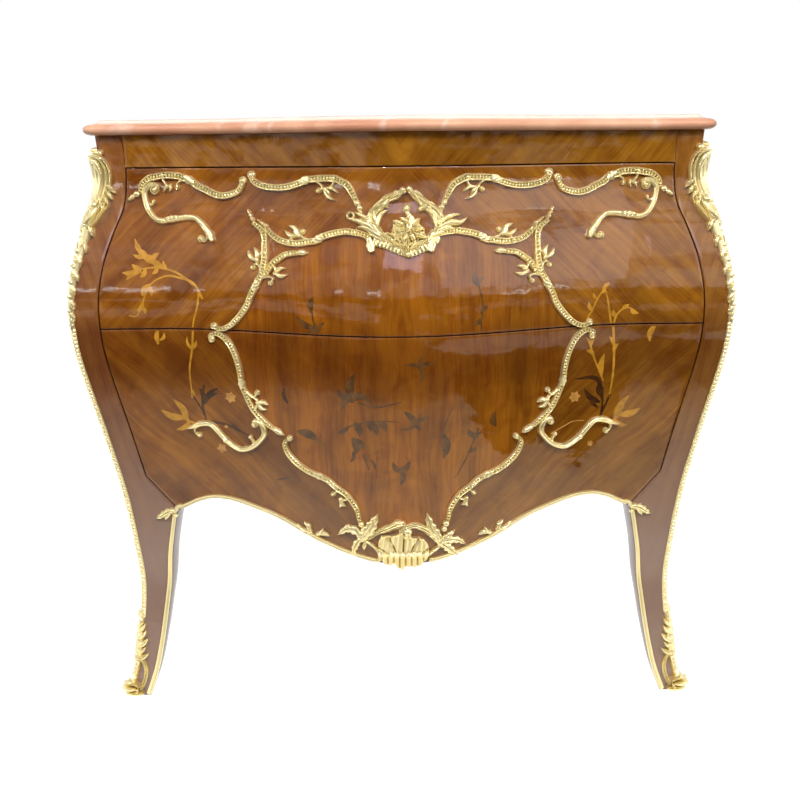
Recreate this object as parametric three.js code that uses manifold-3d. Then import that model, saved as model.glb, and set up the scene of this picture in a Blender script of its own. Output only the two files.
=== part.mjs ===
// Bombé commode chest with two drawers, a marble top and gilt mounts.
// Millimetres, +Z up. The front faces -Y. The back lies at depth 0 until the whole is centred at the end.
import * as THREE from 'three';
import { mergeVertices } from 'three/addons/utils/BufferGeometryUtils.js';
import Module from 'manifold-3d';

const wasm = await Module();
wasm.setup();

// Overall sizes
const overallHeight = 900;
const marbleThickness = 22;
const marbleOverhang = 16;
const marbleCornerRadius = 14;
const marbleEdgeStep = 20;

// Clearances
const seatGap = 0.3;
const boardClearance = 0.6;
const drawerGap = 2;
const runningClearance = 1;

// Body curve, taken at the front corner edge
const ankleHalfWidth = 414;
const bellyHalfWidth = 487;
const ankleDepth = 323;
const bellyDepth = 385;
const sideFlare = 44;
const sideFlareWaveShare = 0.6;
const bowDepth = 114;
const bowHalfWidth = 360;
const cornerEase = 3;

// Each row: share of the carcass height, share of the swell from ankle to belly
const swellShares = [
  [0, 0.27], [0.07, 0.135], [0.14, 0.045], [0.21, 0], [0.27, 0.065], [0.38, 0.25],
  [0.49, 0.53], [0.6, 0.84], [0.65, 0.955], [0.7, 1], [0.74, 0.98], [0.79, 0.87],
  [0.84, 0.67], [0.88, 0.48], [0.92, 0.415], [0.97, 0.42], [1, 0.45],
];
const rowCount = 28;
const frontColumns = 20;
const sideColumns = 8;

// Levels
const splitHeightShare = 0.68;
const friezeHeight = 46;
const legTopHeight = 305;
const kneeRise = 58;
const apronDrop = 55;
const apronRise = 22.5;
const floorClearance = 1;

// Posts and legs
const stileWidth = 39;
const stileDepth = 83;
const stileChamfer = 8;
const legTopWidth = 76;
const backStileWidth = 50;
const backStileDepth = 45;
const legWidthShares = [
  [0, 0.35], [0.12, 0.44], [0.26, 0.49], [0.41, 0.535], [0.535, 0.576], [0.735, 0.69], [0.9, 0.87], [1, 1],
];
const legDepthShares = [[0, 0.42], [0.26, 0.5], [0.41, 0.57], [0.535, 0.64], [0.735, 0.79], [1, 1]];
const backLegSlimShare = 0.45;

// Each row: share of the half span between the legs, share of the rise from the apron's tip to its peak
const apronShares = [
  [0, 0], [0.1, 0.005], [0.22, 0.135], [0.376, 0.387], [0.524, 0.7], [0.655, 0.885], [0.75, 0.985],
  [0.83, 1], [0.9, 0.92], [0.969, 0.774], [1, 0.71],
];
const sideApronShares = [[0, 0], [0.12, 0.7], [0.28, 1], [0.5, 0.55], [0.72, 1], [0.88, 0.7], [1, 0]];

// Boards
const frontThickness = 22;
const panelThickness = 18;
const backPanelThickness = 8;
const backRailThickness = 22;
const topBoardThickness = 14;
const runnerBoardThickness = 12;
const frontToBoard = 3;
const boardAboveApron = 17.5;
const dustBoardDropShare = 0.75;

// Drawer boxes
const boxThickness = 12;
const boxBottomThickness = 8;
const boxBottomRaise = 8;
const guideThickness = 12;
const guideHeight = 15;
const boxHeadroom = 16;
const boxBackClearance = 12;

// Gilt mounts
const stemWidth = 6.5;
const stemHeight = 5;
const stemCrownShare = 0.28;
const stemSink = 1.2;
const stemStep = 18;
const pullHeight = 11;
const knobRadius = 5;
const leafWidth = 8;
const leafHeight = 5;
const legLeafReach = 29;
const legLeafDrop = 13;
const shellLeafWidth = 12;
const lumpLiftShare = 0.4;
const leafRootShare = 0.2;
const filletWidth = 7;
const filletHeight = 4;
const filletStep = 24;
const legFilletSteps = 12;
const filletInset = 2;
const chuteBottomRise = 3;
const chuteTopDrop = 12;
const chuteReach = 23;
const chuteNose = 12.6;
const stripReach = 5;
const stripNose = 4;
const sabotHeight = 127;
const sabotReach = 16;
const sabotNose = 20;
const backSabotReach = 26;
const mountSkinShare = 0.55;
const mountShoulderShare = 0.3;
const mountCornerShare = 0.92;
const chuteReachShares = [
  [0, 0.22], [0.33, 0.26], [0.5, 0.41], [0.66, 0.7], [0.73, 1], [0.79, 0.78], [0.9, 0.65], [1, 0.4],
];
const chuteNoseShares = [
  [0, 0.32], [0.37, 0.4], [0.48, 0.63], [0.58, 0.92], [0.64, 0.87], [0.75, 0.56], [0.86, 0.71], [1, 1],
];
const sabotReachShares = [[0, 0.6], [0.3, 1], [0.5, 0.94], [0.66, 0.7], [0.84, 0.8], [1, 0.3]];
const sabotNoseShares = [
  [0, 1], [0.12, 0.95], [0.2, 0.75], [0.32, 0.52], [0.45, 0.45], [0.7, 0.52], [1, 0.3],
];

// Derived levels and sizes
const carcassHeight = overallHeight - marbleThickness;
const friezeBottomHeight = carcassHeight - friezeHeight;
const splitHeight = carcassHeight * splitHeightShare;
const kneeHeight = legTopHeight + kneeRise;
const apronLowHeight = legTopHeight - apronDrop;
const apronPeakHeight = legTopHeight + apronRise;
const bottomBoardHeight = apronPeakHeight + boardAboveApron;
const upperHeight = friezeBottomHeight - splitHeight;
const lowerHeight = splitHeight - apronLowHeight;
const dustBoardHeight = splitHeight - runnerBoardThickness * dustBoardDropShare;
const chuteTopHeight = carcassHeight - chuteTopDrop;
const chuteBottomHeight = splitHeight + chuteBottomRise;

// Finishes
const finishes = {
  veneer: { color: 0x7d4014, roughness: 0.12, metalness: 0 },
  carcass_wood: { color: 0xb98a55, roughness: 0.7, metalness: 0 },
  gilt_brass: { color: 0xdcc678, roughness: 0.35, metalness: 1 },
  marble: { color: 0xcf9e82, roughness: 0.25, metalness: 0 },
};
const materials = {};
for (const [name, finish] of Object.entries(finishes)) {
  materials[name] = new THREE.MeshStandardMaterial(finish);
}

// Closed meshes
function closedGeometry(points, faces) {
  let volume = 0;
  const corner = (index) => points[index];
  for (let f = 0; f < faces.length; f += 3) {
    const cross = new THREE.Vector3().crossVectors(corner(faces[f + 1]), corner(faces[f + 2]));
    volume += corner(faces[f]).dot(cross);
  }
  if (volume < 0) {
    faces.reverse();
  }
  const geometry = new THREE.BufferGeometry();
  const flat = points.flatMap((point) => [point.x, point.y, point.z]);
  geometry.setAttribute('position', new THREE.Float32BufferAttribute(flat, 3));
  geometry.setIndex(faces);
  return geometry;
}

function facing(a, b, c) {
  return (b.x - a.x) * (c.y - a.y) - (b.y - a.y) * (c.x - a.x) > 0;
}

function capFaces(outline, upward) {
  const triangles = THREE.ShapeUtils.triangulateShape(outline, []);
  return triangles.flatMap(([a, b, c]) => {
    const counter = facing(outline[a], outline[b], outline[c]);
    return counter === upward ? [a, b, c] : [a, c, b];
  });
}

// A stack of closed rings with flat ends. Outlines are the end rings drawn flat.
function loft(rings, outlineOf = flatOutline) {
  const count = rings[0].length;
  const last = (rings.length - 1) * count;
  const faces = [];
  for (let r = 0; r < rings.length - 1; r += 1) {
    for (let i = 0; i < count; i += 1) {
      const a = r * count + i;
      const b = r * count + ((i + 1) % count);
      faces.push(a, b, b + count, a, b + count, a + count);
    }
  }
  const outline = outlineOf(rings[0]);
  const counter = !THREE.ShapeUtils.isClockWise(outline);
  faces.push(...capFaces(outline, !counter));
  faces.push(...capFaces(outlineOf(rings[rings.length - 1]), counter).map((index) => index + last));
  return closedGeometry(rings.flat(), faces);
}

function flatOutline(ring) {
  return ring.map((point) => new THREE.Vector2(point.x, point.y));
}

// A sheet between two grids of points, closed along its four edges
function slab(outer, inner) {
  const rows = outer.length;
  const columns = outer[0].length;
  const points = [...outer.flat(), ...inner.flat()];
  const back = rows * columns;
  const at = (row, column) => row * columns + column;
  const faces = [];
  const quad = (a, b, c, d) => faces.push(a, b, c, a, c, d);
  for (let r = 0; r < rows - 1; r += 1) {
    for (let c = 0; c < columns - 1; c += 1) {
      quad(at(r, c), at(r, c + 1), at(r + 1, c + 1), at(r + 1, c));
      quad(back + at(r, c), back + at(r + 1, c), back + at(r + 1, c + 1), back + at(r, c + 1));
    }
    quad(at(r, 0), at(r + 1, 0), back + at(r + 1, 0), back + at(r, 0));
    const end = columns - 1;
    quad(at(r, end), back + at(r, end), back + at(r + 1, end), at(r + 1, end));
  }
  for (let c = 0; c < columns - 1; c += 1) {
    const top = rows - 1;
    quad(at(0, c), back + at(0, c), back + at(0, c + 1), at(0, c + 1));
    quad(at(top, c), at(top, c + 1), back + at(top, c + 1), back + at(top, c));
  }
  return closedGeometry(points, faces);
}

// Joins and cuts
function solidFrom(geometry) {
  const plain = new THREE.BufferGeometry();
  plain.setAttribute('position', geometry.getAttribute('position'));
  plain.setIndex(geometry.getIndex());
  const merged = mergeVertices(plain);
  const mesh = new wasm.Mesh({
    numProp: 3,
    vertProperties: new Float32Array(merged.getAttribute('position').array),
    triVerts: new Uint32Array(merged.getIndex().array),
  });
  return new wasm.Manifold(mesh);
}

function geometryFrom(solid) {
  const mesh = solid.getMesh();
  const geometry = new THREE.BufferGeometry();
  geometry.setAttribute('position', new THREE.BufferAttribute(new Float32Array(mesh.vertProperties), 3));
  geometry.setIndex(new THREE.BufferAttribute(new Uint32Array(mesh.triVerts), 1));
  return geometry;
}

function joined(solids) {
  return solids.reduce((sum, solid) => sum.add(solid));
}

// Curves of the body
function smoothAt(table, share) {
  const last = table.length - 1;
  let cell = 0;
  while (cell < last - 1 && share > table[cell + 1][0]) {
    cell += 1;
  }
  const slope = (k) => {
    const before = table[Math.max(k - 1, 0)];
    const after = table[Math.min(k + 1, last)];
    return (after[1] - before[1]) / (after[0] - before[0]);
  };
  const [start, from] = table[cell];
  const [end, to] = table[cell + 1];
  const span = end - start;
  const t = (share - start) / span;
  const ease = t * t * (3 - 2 * t);
  const leave = t * (1 - t) * (1 - t);
  const arrive = t * t * (1 - t);
  return from + (to - from) * ease + span * (leave * slope(cell) - arrive * slope(cell + 1));
}

const rowHeights = Array.from({ length: rowCount + 1 }, (_, i) => (carcassHeight * i) / rowCount);
const rowSwells = rowHeights.map((z) => smoothAt(swellShares, z / carcassHeight));

function swellAt(z) {
  const row = Math.min(Math.max(Math.floor((z / carcassHeight) * rowCount), 0), rowCount - 1);
  const t = (z - rowHeights[row]) / (rowHeights[row + 1] - rowHeights[row]);
  return rowSwells[row] + (rowSwells[row + 1] - rowSwells[row]) * t;
}

function halfWidth(z) {
  return ankleHalfWidth + (bellyHalfWidth - ankleHalfWidth) * swellAt(z);
}

function cornerDepth(z) {
  return ankleDepth + (bellyDepth - ankleDepth) * swellAt(z);
}

function bow(x) {
  const reach = Math.min(Math.abs(x) / bowHalfWidth, 1);
  return bowDepth * Math.cos((Math.PI / 2) * reach) ** 2;
}

function frontY(x, z) {
  return -(cornerDepth(z) + bow(x));
}

function sideX(y, z) {
  const t = 1 + y / cornerDepth(z);
  const wave = (sideFlareWaveShare * Math.sin(2 * Math.PI * t)) / (2 * Math.PI);
  return halfWidth(z) + sideFlare * (t - wave);
}

function rowsBetween(low, high, extra = []) {
  const between = (z) => z > low + boardClearance && z < high - boardClearance;
  const inside = [...rowHeights, ...extra].filter(between).sort((a, b) => a - b);
  return [low, ...inside, high];
}

function legWidth(z) {
  return legTopWidth * smoothAt(legWidthShares, z / legTopHeight);
}

function stileInner(z) {
  const knee = halfWidth(kneeHeight) - stileWidth;
  const legTop = halfWidth(legTopHeight) - legTopWidth;
  if (z >= kneeHeight) {
    return halfWidth(z) - stileWidth;
  }
  if (z >= legTopHeight) {
    return legTop + ((knee - legTop) * (z - legTopHeight)) / (kneeHeight - legTopHeight);
  }
  return halfWidth(z) - legWidth(z);
}

// Half the width of the drawer fronts
function faceHalfWidth(z) {
  return stileInner(Math.max(z, kneeHeight));
}

function narrowestOpening(low, high) {
  return Math.min(...rowsBetween(low, high).map(stileInner));
}

function shallowestCorner(low, high) {
  return Math.min(...rowsBetween(low, high).map(cornerDepth));
}

function vector(x, y, z) {
  return new THREE.Vector3(x, y, z);
}

function steps(from, to, count) {
  return Array.from({ length: count + 1 }, (_, i) => from + ((to - from) * i) / count);
}

// Posts with their legs
function frontPostRing(side, z) {
  const front = -cornerDepth(z);
  const inner = stileInner(z);
  const outer = halfWidth(z);
  const depth = stileDepth * (z < legTopHeight ? smoothAt(legDepthShares, z / legTopHeight) : 1);
  const back = front + depth;
  const middle = front + depth / 2;
  return [
    vector(side * inner, frontY(inner, z), z),
    vector(side * (outer - cornerEase), front, z),
    vector(side * outer, front + cornerEase, z),
    vector(side * sideX(middle, z), middle, z),
    vector(side * sideX(back, z), back, z),
    vector(side * (inner + stileChamfer), back, z),
    vector(side * inner, back - stileChamfer, z),
  ];
}

function frontPost(side) {
  const rows = rowsBetween(0, carcassHeight, [legTopHeight, kneeHeight]);
  return loft(rows.map((z) => frontPostRing(side, z)));
}

function backPostInner(z) {
  const share = z < legTopHeight ? smoothAt(legWidthShares, z / legTopHeight) : 1;
  return sideX(0, z) - backStileWidth * (1 - backLegSlimShare + backLegSlimShare * share);
}

function backPostRing(side, z) {
  const share = z < legTopHeight ? smoothAt(legDepthShares, z / legTopHeight) : 1;
  const front = -backStileDepth * (1 - backLegSlimShare + backLegSlimShare * share);
  const inner = backPostInner(z);
  return [
    vector(side * inner, front, z),
    vector(side * sideX(front, z), front, z),
    vector(side * sideX(0, z), 0, z),
    vector(side * inner, 0, z),
  ];
}

function backPost(side) {
  const rows = rowsBetween(0, carcassHeight, [legTopHeight]);
  return loft(rows.map((z) => backPostRing(side, z)));
}

// Curved side panel with a scalloped lower edge
function sidePanel(side) {
  const rows = rowsBetween(legTopHeight, carcassHeight, [kneeHeight]);
  const grid = (inset) => rows.map((z) => {
    const from = -cornerDepth(z) + stileDepth + seatGap;
    return steps(from, -backStileDepth - seatGap, sideColumns).map((y) => (
      vector(side * (sideX(y, z) - inset), y, z)
    ));
  });
  return solidFrom(slab(grid(0), grid(panelThickness))).intersect(sideApronBlank());
}

// A block as wide as the chest whose underside is the scallop of the sides
function sideApronBlank() {
  const from = -cornerDepth(legTopHeight) + stileDepth;
  const shape = new THREE.Shape();
  shape.moveTo(-bellyDepth, legTopHeight);
  for (const share of steps(0, 1, 3 * sideColumns)) {
    const rise = (apronPeakHeight - legTopHeight) * smoothAt(sideApronShares, share);
    shape.lineTo(from + (-backStileDepth - from) * share, legTopHeight + rise);
  }
  shape.lineTo(0, legTopHeight);
  shape.lineTo(0, overallHeight);
  shape.lineTo(-bellyDepth, overallHeight);
  return acrossWidth(shape, bellyHalfWidth + sideFlare + panelThickness);
}

// A drawing in depth and height, given a width from side to side
function acrossWidth(shape, reach) {
  const plate = new THREE.ExtrudeGeometry(shape, { depth: 2 * reach, bevelEnabled: false });
  const turn = new THREE.Matrix4().makeBasis(vector(0, 1, 0), vector(0, 0, 1), vector(1, 0, 0));
  return solidFrom(indexed(plate.applyMatrix4(turn).translate(-reach, 0, 0)));
}

// Curved fronts
function curvedFront(low, high, sideGap) {
  const rows = rowsBetween(low, high, [kneeHeight, legTopHeight]);
  const grid = (inset) => rows.map((z) => steps(-1, 1, frontColumns).map((share) => {
    const x = share * (stileInner(z) - sideGap);
    return vector(x, frontY(x, z) + inset, z);
  }));
  return slab(grid(0), grid(frontThickness));
}

function apronHeight(share) {
  return apronLowHeight + (apronPeakHeight - apronLowHeight) * smoothAt(apronShares, Math.abs(share));
}

function apronBlank() {
  const span = stileInner(legTopHeight);
  const wide = bellyHalfWidth;
  const shape = new THREE.Shape();
  shape.moveTo(-wide, apronHeight(1));
  for (const share of steps(-1, 1, 2 * frontColumns)) {
    shape.lineTo(share * span, apronHeight(share));
  }
  shape.lineTo(wide, apronHeight(1));
  shape.lineTo(wide, splitHeight);
  shape.lineTo(-wide, splitHeight);
  const prism = new THREE.ExtrudeGeometry(shape, { depth: bellyDepth + 2 * bowDepth, bevelEnabled: false });
  return solidFrom(indexed(prism.rotateX(Math.PI / 2)));
}

function indexed(geometry) {
  geometry.deleteAttribute('normal');
  geometry.deleteAttribute('uv');
  return mergeVertices(geometry);
}

// Flat boards cut to the inside of the body
function boardOutline(low, high, frontInset, backInset) {
  const depth = shallowestCorner(low, high);
  const opening = narrowestOpening(low, high) - boardClearance;
  const behindPost = -depth + stileDepth + boardClearance;
  const beforeBackPost = -backStileDepth - boardClearance;
  const backOpening = Math.min(backPostInner(low), backPostInner(high)) - boardClearance;
  const half = [];
  for (const x of steps(0, opening, frontColumns / 2)) {
    half.push([x, -(depth + bow(x)) + frontInset]);
  }
  half.push([opening, behindPost]);
  for (const y of steps(behindPost, beforeBackPost, 8)) {
    const wall = Math.min(sideX(y, low), sideX(y, high)) - panelThickness - boardClearance;
    half.push([wall, y]);
  }
  half.push([backOpening, beforeBackPost], [backOpening, -backInset]);
  return half;
}

function board(low, high, frontInset, backInset) {
  const half = boardOutline(low, high, frontInset, backInset);
  const left = half.map(([x, y]) => [-x, y]).reverse();
  const shape = new THREE.Shape([...half, ...left].map(([x, y]) => new THREE.Vector2(x, y)));
  const plate = new THREE.ExtrudeGeometry(shape, { depth: high - low, bevelEnabled: false });
  return indexed(plate.translate(0, 0, low));
}

function block(x0, x1, y0, y1, z0, z1) {
  const box = new THREE.BoxGeometry(x1 - x0, y1 - y0, z1 - z0);
  return indexed(box.translate((x0 + x1) / 2, (y0 + y1) / 2, (z0 + z1) / 2));
}

function betweenBackPosts(low, high, thickness) {
  const rows = rowsBetween(low, high);
  const grid = (y) => rows.map((z) => {
    const x = backPostInner(z) - seatGap;
    return [vector(-x, y, z), vector(x, y, z)];
  });
  return slab(grid(-thickness), grid(0));
}

// Marble top
function marbleRing(inset, z) {
  const offset = marbleOverhang - inset;
  const width = halfWidth(carcassHeight) + offset;
  const front = -cornerDepth(carcassHeight) - offset;
  const flat = width - marbleCornerRadius;
  const ring = steps(-flat, flat, 2 * frontColumns).map((x) => vector(x, front - bow(x), z));
  const right = [];
  for (const turn of steps(0, 1, 4).slice(1)) {
    const angle = (turn * Math.PI) / 2;
    const x = flat + marbleCornerRadius * Math.sin(angle);
    right.push(vector(x, front + marbleCornerRadius * (1 - Math.cos(angle)), z));
  }
  for (const y of steps(front + marbleCornerRadius, 0, 10).slice(1)) {
    const held = Math.max(y, -cornerDepth(carcassHeight));
    right.push(vector(sideX(held, carcassHeight) + offset, y, z));
  }
  const left = right.map((point) => vector(-point.x, point.y, z)).reverse();
  return [...ring, ...right, ...left];
}

function marbleTop() {
  // Share of the edge step taken inwards, share of the slab's thickness
  const edgeShares = [[0.2, 0], [0, 0.2], [0, 0.5], [0.45, 0.66], [0.7, 0.8], [1, 1]];
  const low = carcassHeight + seatGap;
  const rings = edgeShares.map(([inward, up]) => (
    marbleRing(marbleEdgeStep * inward, low + (overallHeight - low) * up)
  ));
  return loft(rings);
}

// Drawer boxes
const boxBackY = -backPanelThickness - boxBackClearance;

function drawerBox(low, high, front) {
  const bottomHeight = low + boxBottomRaise;
  const halfBox = narrowestOpening(low, high) - guideThickness - 2 * runningClearance;
  const inner = halfBox - boxThickness;
  const behindFront = front.translate([0, seatGap, 0]);
  const sideBoard = (side) => {
    const shape = new THREE.Shape();
    shape.moveTo(boxBackY, low);
    shape.lineTo(boxBackY, high);
    for (const z of rowsBetween(low, high).reverse()) {
      shape.lineTo(frontY(halfBox, z) + frontThickness / 2, z);
    }
    const middle = side * (halfBox - boxThickness / 2);
    return acrossWidth(shape, boxThickness / 2).translate([middle, 0, 0]).subtract(behindFront);
  };
  const backFace = boxBackY - boxThickness;
  const bottom = () => {
    const wide = inner - seatGap;
    const depth = shallowestCorner(bottomHeight, bottomHeight + boxBottomThickness);
    const edge = steps(-wide, wide, frontColumns).map((x) => [x, -(depth + bow(x)) + frontThickness / 2]);
    const outline = [...edge, [wide, backFace - seatGap], [-wide, backFace - seatGap]];
    const shape = new THREE.Shape(outline.map(([x, y]) => new THREE.Vector2(x, y)));
    const plate = new THREE.ExtrudeGeometry(shape, { depth: boxBottomThickness, bevelEnabled: false });
    return solidFrom(indexed(plate.translate(0, 0, bottomHeight))).subtract(behindFront);
  };
  return {
    side_left: sideBoard(-1),
    side_right: sideBoard(1),
    back: block(-inner + seatGap, inner - seatGap, backFace, boxBackY, low, high),
    bottom: bottom(),
  };
}

function drawerGuide(side, low, boxTop) {
  const inner = narrowestOpening(low, boxTop) - guideThickness - runningClearance;
  const front = -shallowestCorner(low, boxTop) + frontThickness + frontToBoard;
  const edges = [side * inner, side * (inner + guideThickness)].sort((a, b) => a - b);
  return block(edges[0], edges[1], front, -backPanelThickness - frontToBoard, low, low + guideHeight);
}

// Gilt mounts wrapped round the front corner edge
function cornerRing(side, z, reach, nose) {
  const width = halfWidth(z);
  const front = -cornerDepth(z);
  const onSide = sideX(front + reach, z) + seatGap;
  const skin = nose * mountSkinShare;
  const ring = [
    [width - reach, front - seatGap],
    [width + seatGap, front - seatGap],
    [onSide, front + reach],
    [onSide + skin, front + reach],
    [width + nose, front + reach * mountShoulderShare],
    [width + nose * mountCornerShare, front - nose * mountCornerShare],
    [width - reach * mountShoulderShare, front - nose],
    [width - reach, front - seatGap - skin],
  ];
  return ring.map(([x, y]) => vector(side * x, y, z));
}

function cornerMount(side, low, high, reachAt, noseAt) {
  const rings = rowsBetween(low, high).map((z) => {
    const share = (z - low) / (high - low);
    return cornerRing(side, z, reachAt(share), noseAt(share));
  });
  return loft(rings);
}

function backSabot(side) {
  const rings = rowsBetween(floorClearance, sabotHeight).map((z) => {
    const share = z / sabotHeight;
    const nose = sabotNose * smoothAt(sabotNoseShares, share);
    const reach = Math.min(backSabotReach, backStileDepth * smoothAt(legDepthShares, 0));
    const ring = [
      [seatGap, -seatGap], [nose, -seatGap], [nose, -reach / 2], [nose * mountSkinShare + seatGap, -reach],
      [seatGap, -reach],
    ];
    return ring.map(([out, y]) => vector(side * (sideX(y, z) + out), y, z));
  });
  return loft(rings);
}

// Gilt mounts laid on the front
function onFront(x, z) {
  const step = seatGap;
  const across = (frontY(x + step, z) - frontY(x - step, z)) / (2 * step);
  const up = (frontY(x, z + step) - frontY(x, z - step)) / (2 * step);
  return { place: vector(x, frontY(x, z), z), out: vector(across, -1, up).normalize(), across, up };
}

function stem(points, width, height, stepLength = stemStep) {
  const curve = new THREE.CatmullRomCurve3(points.map(([x, z]) => vector(x, 0, z)), false, 'centripetal');
  const count = Math.max(Math.round(curve.getLength() / stepLength), 3);
  const rings = steps(0, 1, count).map((share, i) => {
    const { x, z } = curve.getPointAt(share);
    const run = curve.getTangentAt(share);
    const { place, out, across, up } = onFront(x, z);
    const along = vector(run.x, run.x * across + run.z * up, run.z).normalize();
    const beside = new THREE.Vector3().crossVectors(along, out);
    const slim = i === 0 || i === count ? mountSkinShare : 1;
    const ring = [[-0.5, -stemSink], [-stemCrownShare, height], [stemCrownShare, height], [0.5, -stemSink]];
    return ring.map(([aside, lift]) => (
      place.clone().addScaledVector(beside, aside * width * slim).addScaledVector(out, lift)
    ));
  });
  return solidFrom(loft(rings, stemOutline));
}

// The flat drawing of a stem's four-cornered section
function stemOutline() {
  return [[-1, 0], [-0.5, 1], [0.5, 1], [1, 0]].map(([x, y]) => new THREE.Vector2(x, y));
}

function lump(x, z, length, width, height, towards = [1, 0]) {
  const { place, out, across, up } = onFront(x, z);
  const along = vector(towards[0], towards[0] * across + towards[1] * up, towards[1]).normalize();
  const beside = new THREE.Vector3().crossVectors(out, along);
  const ball = indexed(new THREE.OctahedronGeometry(1, 1).scale(length / 2, width / 2, height));
  place.addScaledVector(out, height * lumpLiftShare);
  ball.applyMatrix4(new THREE.Matrix4().makeBasis(along, beside, out).setPosition(place));
  return solidFrom(ball);
}

// A leaf from a point on its stem to its tip, rooted a little behind that point
function leaf(from, to, width = leafWidth, height = leafHeight) {
  const run = [to[0] - from[0], to[1] - from[1]];
  const root = [from[0] - run[0] * leafRootShare, from[1] - run[1] * leafRootShare];
  const length = Math.hypot(run[0], run[1]) * (1 + leafRootShare);
  return lump((root[0] + to[0]) / 2, (root[1] + to[1]) / 2, length, width, height, run);
}

function knob(at, radius = knobRadius) {
  return lump(at[0], at[1], 2 * radius, 2 * radius, radius);
}

function laidOn(ground, parts) {
  return joined(parts).subtract(ground.translate([0, -seatGap, 0]));
}

// Places on the two drawers: shares of the half-width at that height, shares of the drawer's height
function placesFrom(low, height) {
  return (side, table) => table.map(([x, up]) => {
    const z = low + up * height;
    return [side * x * faceHalfWidth(z), z];
  });
}

const upperPlaces = placesFrom(splitHeight, upperHeight);
const lowerPlaces = placesFrom(apronLowHeight, lowerHeight);

const scrollShares = {
  outer_scroll: {
    stems: [[
      [0.978, 0.8], [0.938, 0.87], [0.863, 0.95], [0.796, 0.945], [0.74, 0.9], [0.672, 0.84], [0.616, 0.825],
      [0.563, 0.88], [0.558, 0.92],
    ]],
    leaves: [[[0.89, 0.925], [0.822, 0.87]]],
    knobs: [[0.978, 0.8]],
  },
  inner_scroll: {
    stems: [[
      [0.529, 0.955], [0.519, 0.9], [0.478, 0.868], [0.386, 0.877], [0.328, 0.906], [0.267, 0.932],
      [0.221, 0.922], [0.182, 0.885], [0.162, 0.834], [0.151, 0.785],
    ]],
    leaves: [[[0.328, 0.905], [0.226, 0.825]]],
    knobs: [[0.529, 0.95]],
  },
  mid_scroll: {
    stems: [[
      [0.1, 0.523], [0.111, 0.575], [0.142, 0.609], [0.181, 0.621], [0.217, 0.609], [0.256, 0.583],
      [0.313, 0.54], [0.35, 0.54], [0.388, 0.555], [0.425, 0.591], [0.453, 0.63],
    ]],
    leaves: [[[0.277, 0.573], [0.378, 0.63]]],
    knobs: [[0.1, 0.523]],
  },
  forked_scroll: {
    stems: [
      [
        [0.534, 0.719], [0.516, 0.672], [0.492, 0.63], [0.469, 0.587], [0.461, 0.528], [0.457, 0.451],
        [0.46, 0.357], [0.484, 0.277], [0.503, 0.187], [0.531, 0.106], [0.559, 0.055], [0.591, 0.035],
        [0.621, 0.045],
      ],
      [[0.337, 0.485], [0.373, 0.5], [0.404, 0.485], [0.428, 0.443], [0.44, 0.4], [0.462, 0.35]],
    ],
    leaves: [[[0.454, 0.39], [0.508, 0.5]], [[0.462, 0.345], [0.387, 0.395]]],
    knobs: [[0.621, 0.045]],
  },
};

const lowerScrollShares = {
  panel_scroll: {
    stems: [[
      [0.63, 0.963], [0.6, 0.972], [0.573, 0.945], [0.552, 0.888], [0.54, 0.83], [0.539, 0.772],
      [0.531, 0.715], [0.518, 0.654], [0.49, 0.608], [0.456, 0.585], [0.431, 0.568],
    ]],
    leaves: [[[0.536, 0.738], [0.466, 0.68]]],
    knobs: [[0.63, 0.963]],
  },
  low_scroll: {
    stems: [[
      [0.401, 0.53], [0.42, 0.4986], [0.397, 0.447], [0.339, 0.392], [0.276, 0.366], [0.23, 0.326],
      [0.168, 0.268], [0.158, 0.219], [0.164, 0.19],
    ]],
    leaves: [[[0.271, 0.36], [0.22, 0.25]]],
    knobs: [[0.401, 0.53]],
  },
};

const upperPullShares = [
  [0.913, 0.815], [0.917, 0.78], [0.906, 0.74], [0.875, 0.68], [0.836, 0.66], [0.762, 0.68], [0.713, 0.66],
  [0.684, 0.61], [0.686, 0.56], [0.647, 0.535],
];
const lowerPullShares = [
  [0.507, 0.568], [0.498, 0.542], [0.532, 0.4986], [0.58, 0.47], [0.626, 0.484], [0.656, 0.513],
  [0.681, 0.565], [0.708, 0.579], [0.748, 0.568], [0.761, 0.536], [0.745, 0.522],
];

function scroll(ground, places, side, shares) {
  const stems = shares.stems.map((table) => stem(places(side, table), stemWidth, stemHeight));
  const leaves = shares.leaves.map((table) => leaf(...places(side, table)));
  const knobs = places(side, shares.knobs).map((at) => knob(at));
  return laidOn(ground, [...stems, ...leaves, ...knobs]);
}

function pull(ground, places, side, table) {
  const points = places(side, table);
  const grip = stem(points, stemWidth, pullHeight);
  return laidOn(ground, [grip, knob(points[0]), knob(points[points.length - 1])]);
}

// The pierced centre mount: a heart-shaped frame, a bouquet inside and two side leaves
function cartouche(ground) {
  const frameShares = [
    [0, 0.5], [0.047, 0.53], [0.083, 0.6], [0.106, 0.69], [0.093, 0.77], [0.055, 0.83], [0.022, 0.81],
    [0, 0.84],
  ];
  const sprayShares = [[[0, 0.52], [0, 0.75]], [[0, 0.52], [0.054, 0.7]], [[0, 0.52], [-0.054, 0.7]]];
  const sideLeafShares = [[[0.091, 0.67], [0.173, 0.72]], [[-0.091, 0.67], [-0.173, 0.72]]];
  const frame = [1, -1].map((side) => stem(upperPlaces(side, frameShares), stemWidth, 2 * stemHeight));
  const spray = sprayShares.map((table) => leaf(...upperPlaces(1, table), 2 * leafWidth, 2 * leafHeight));
  const sideLeaves = sideLeafShares.map((table) => leaf(...upperPlaces(1, table), 2 * leafWidth));
  const foot = upperPlaces(1, [[0, 0.52]])[0];
  return laidOn(ground, [...frame, ...spray, ...sideLeaves, knob(foot, 2 * knobRadius)]);
}

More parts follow.
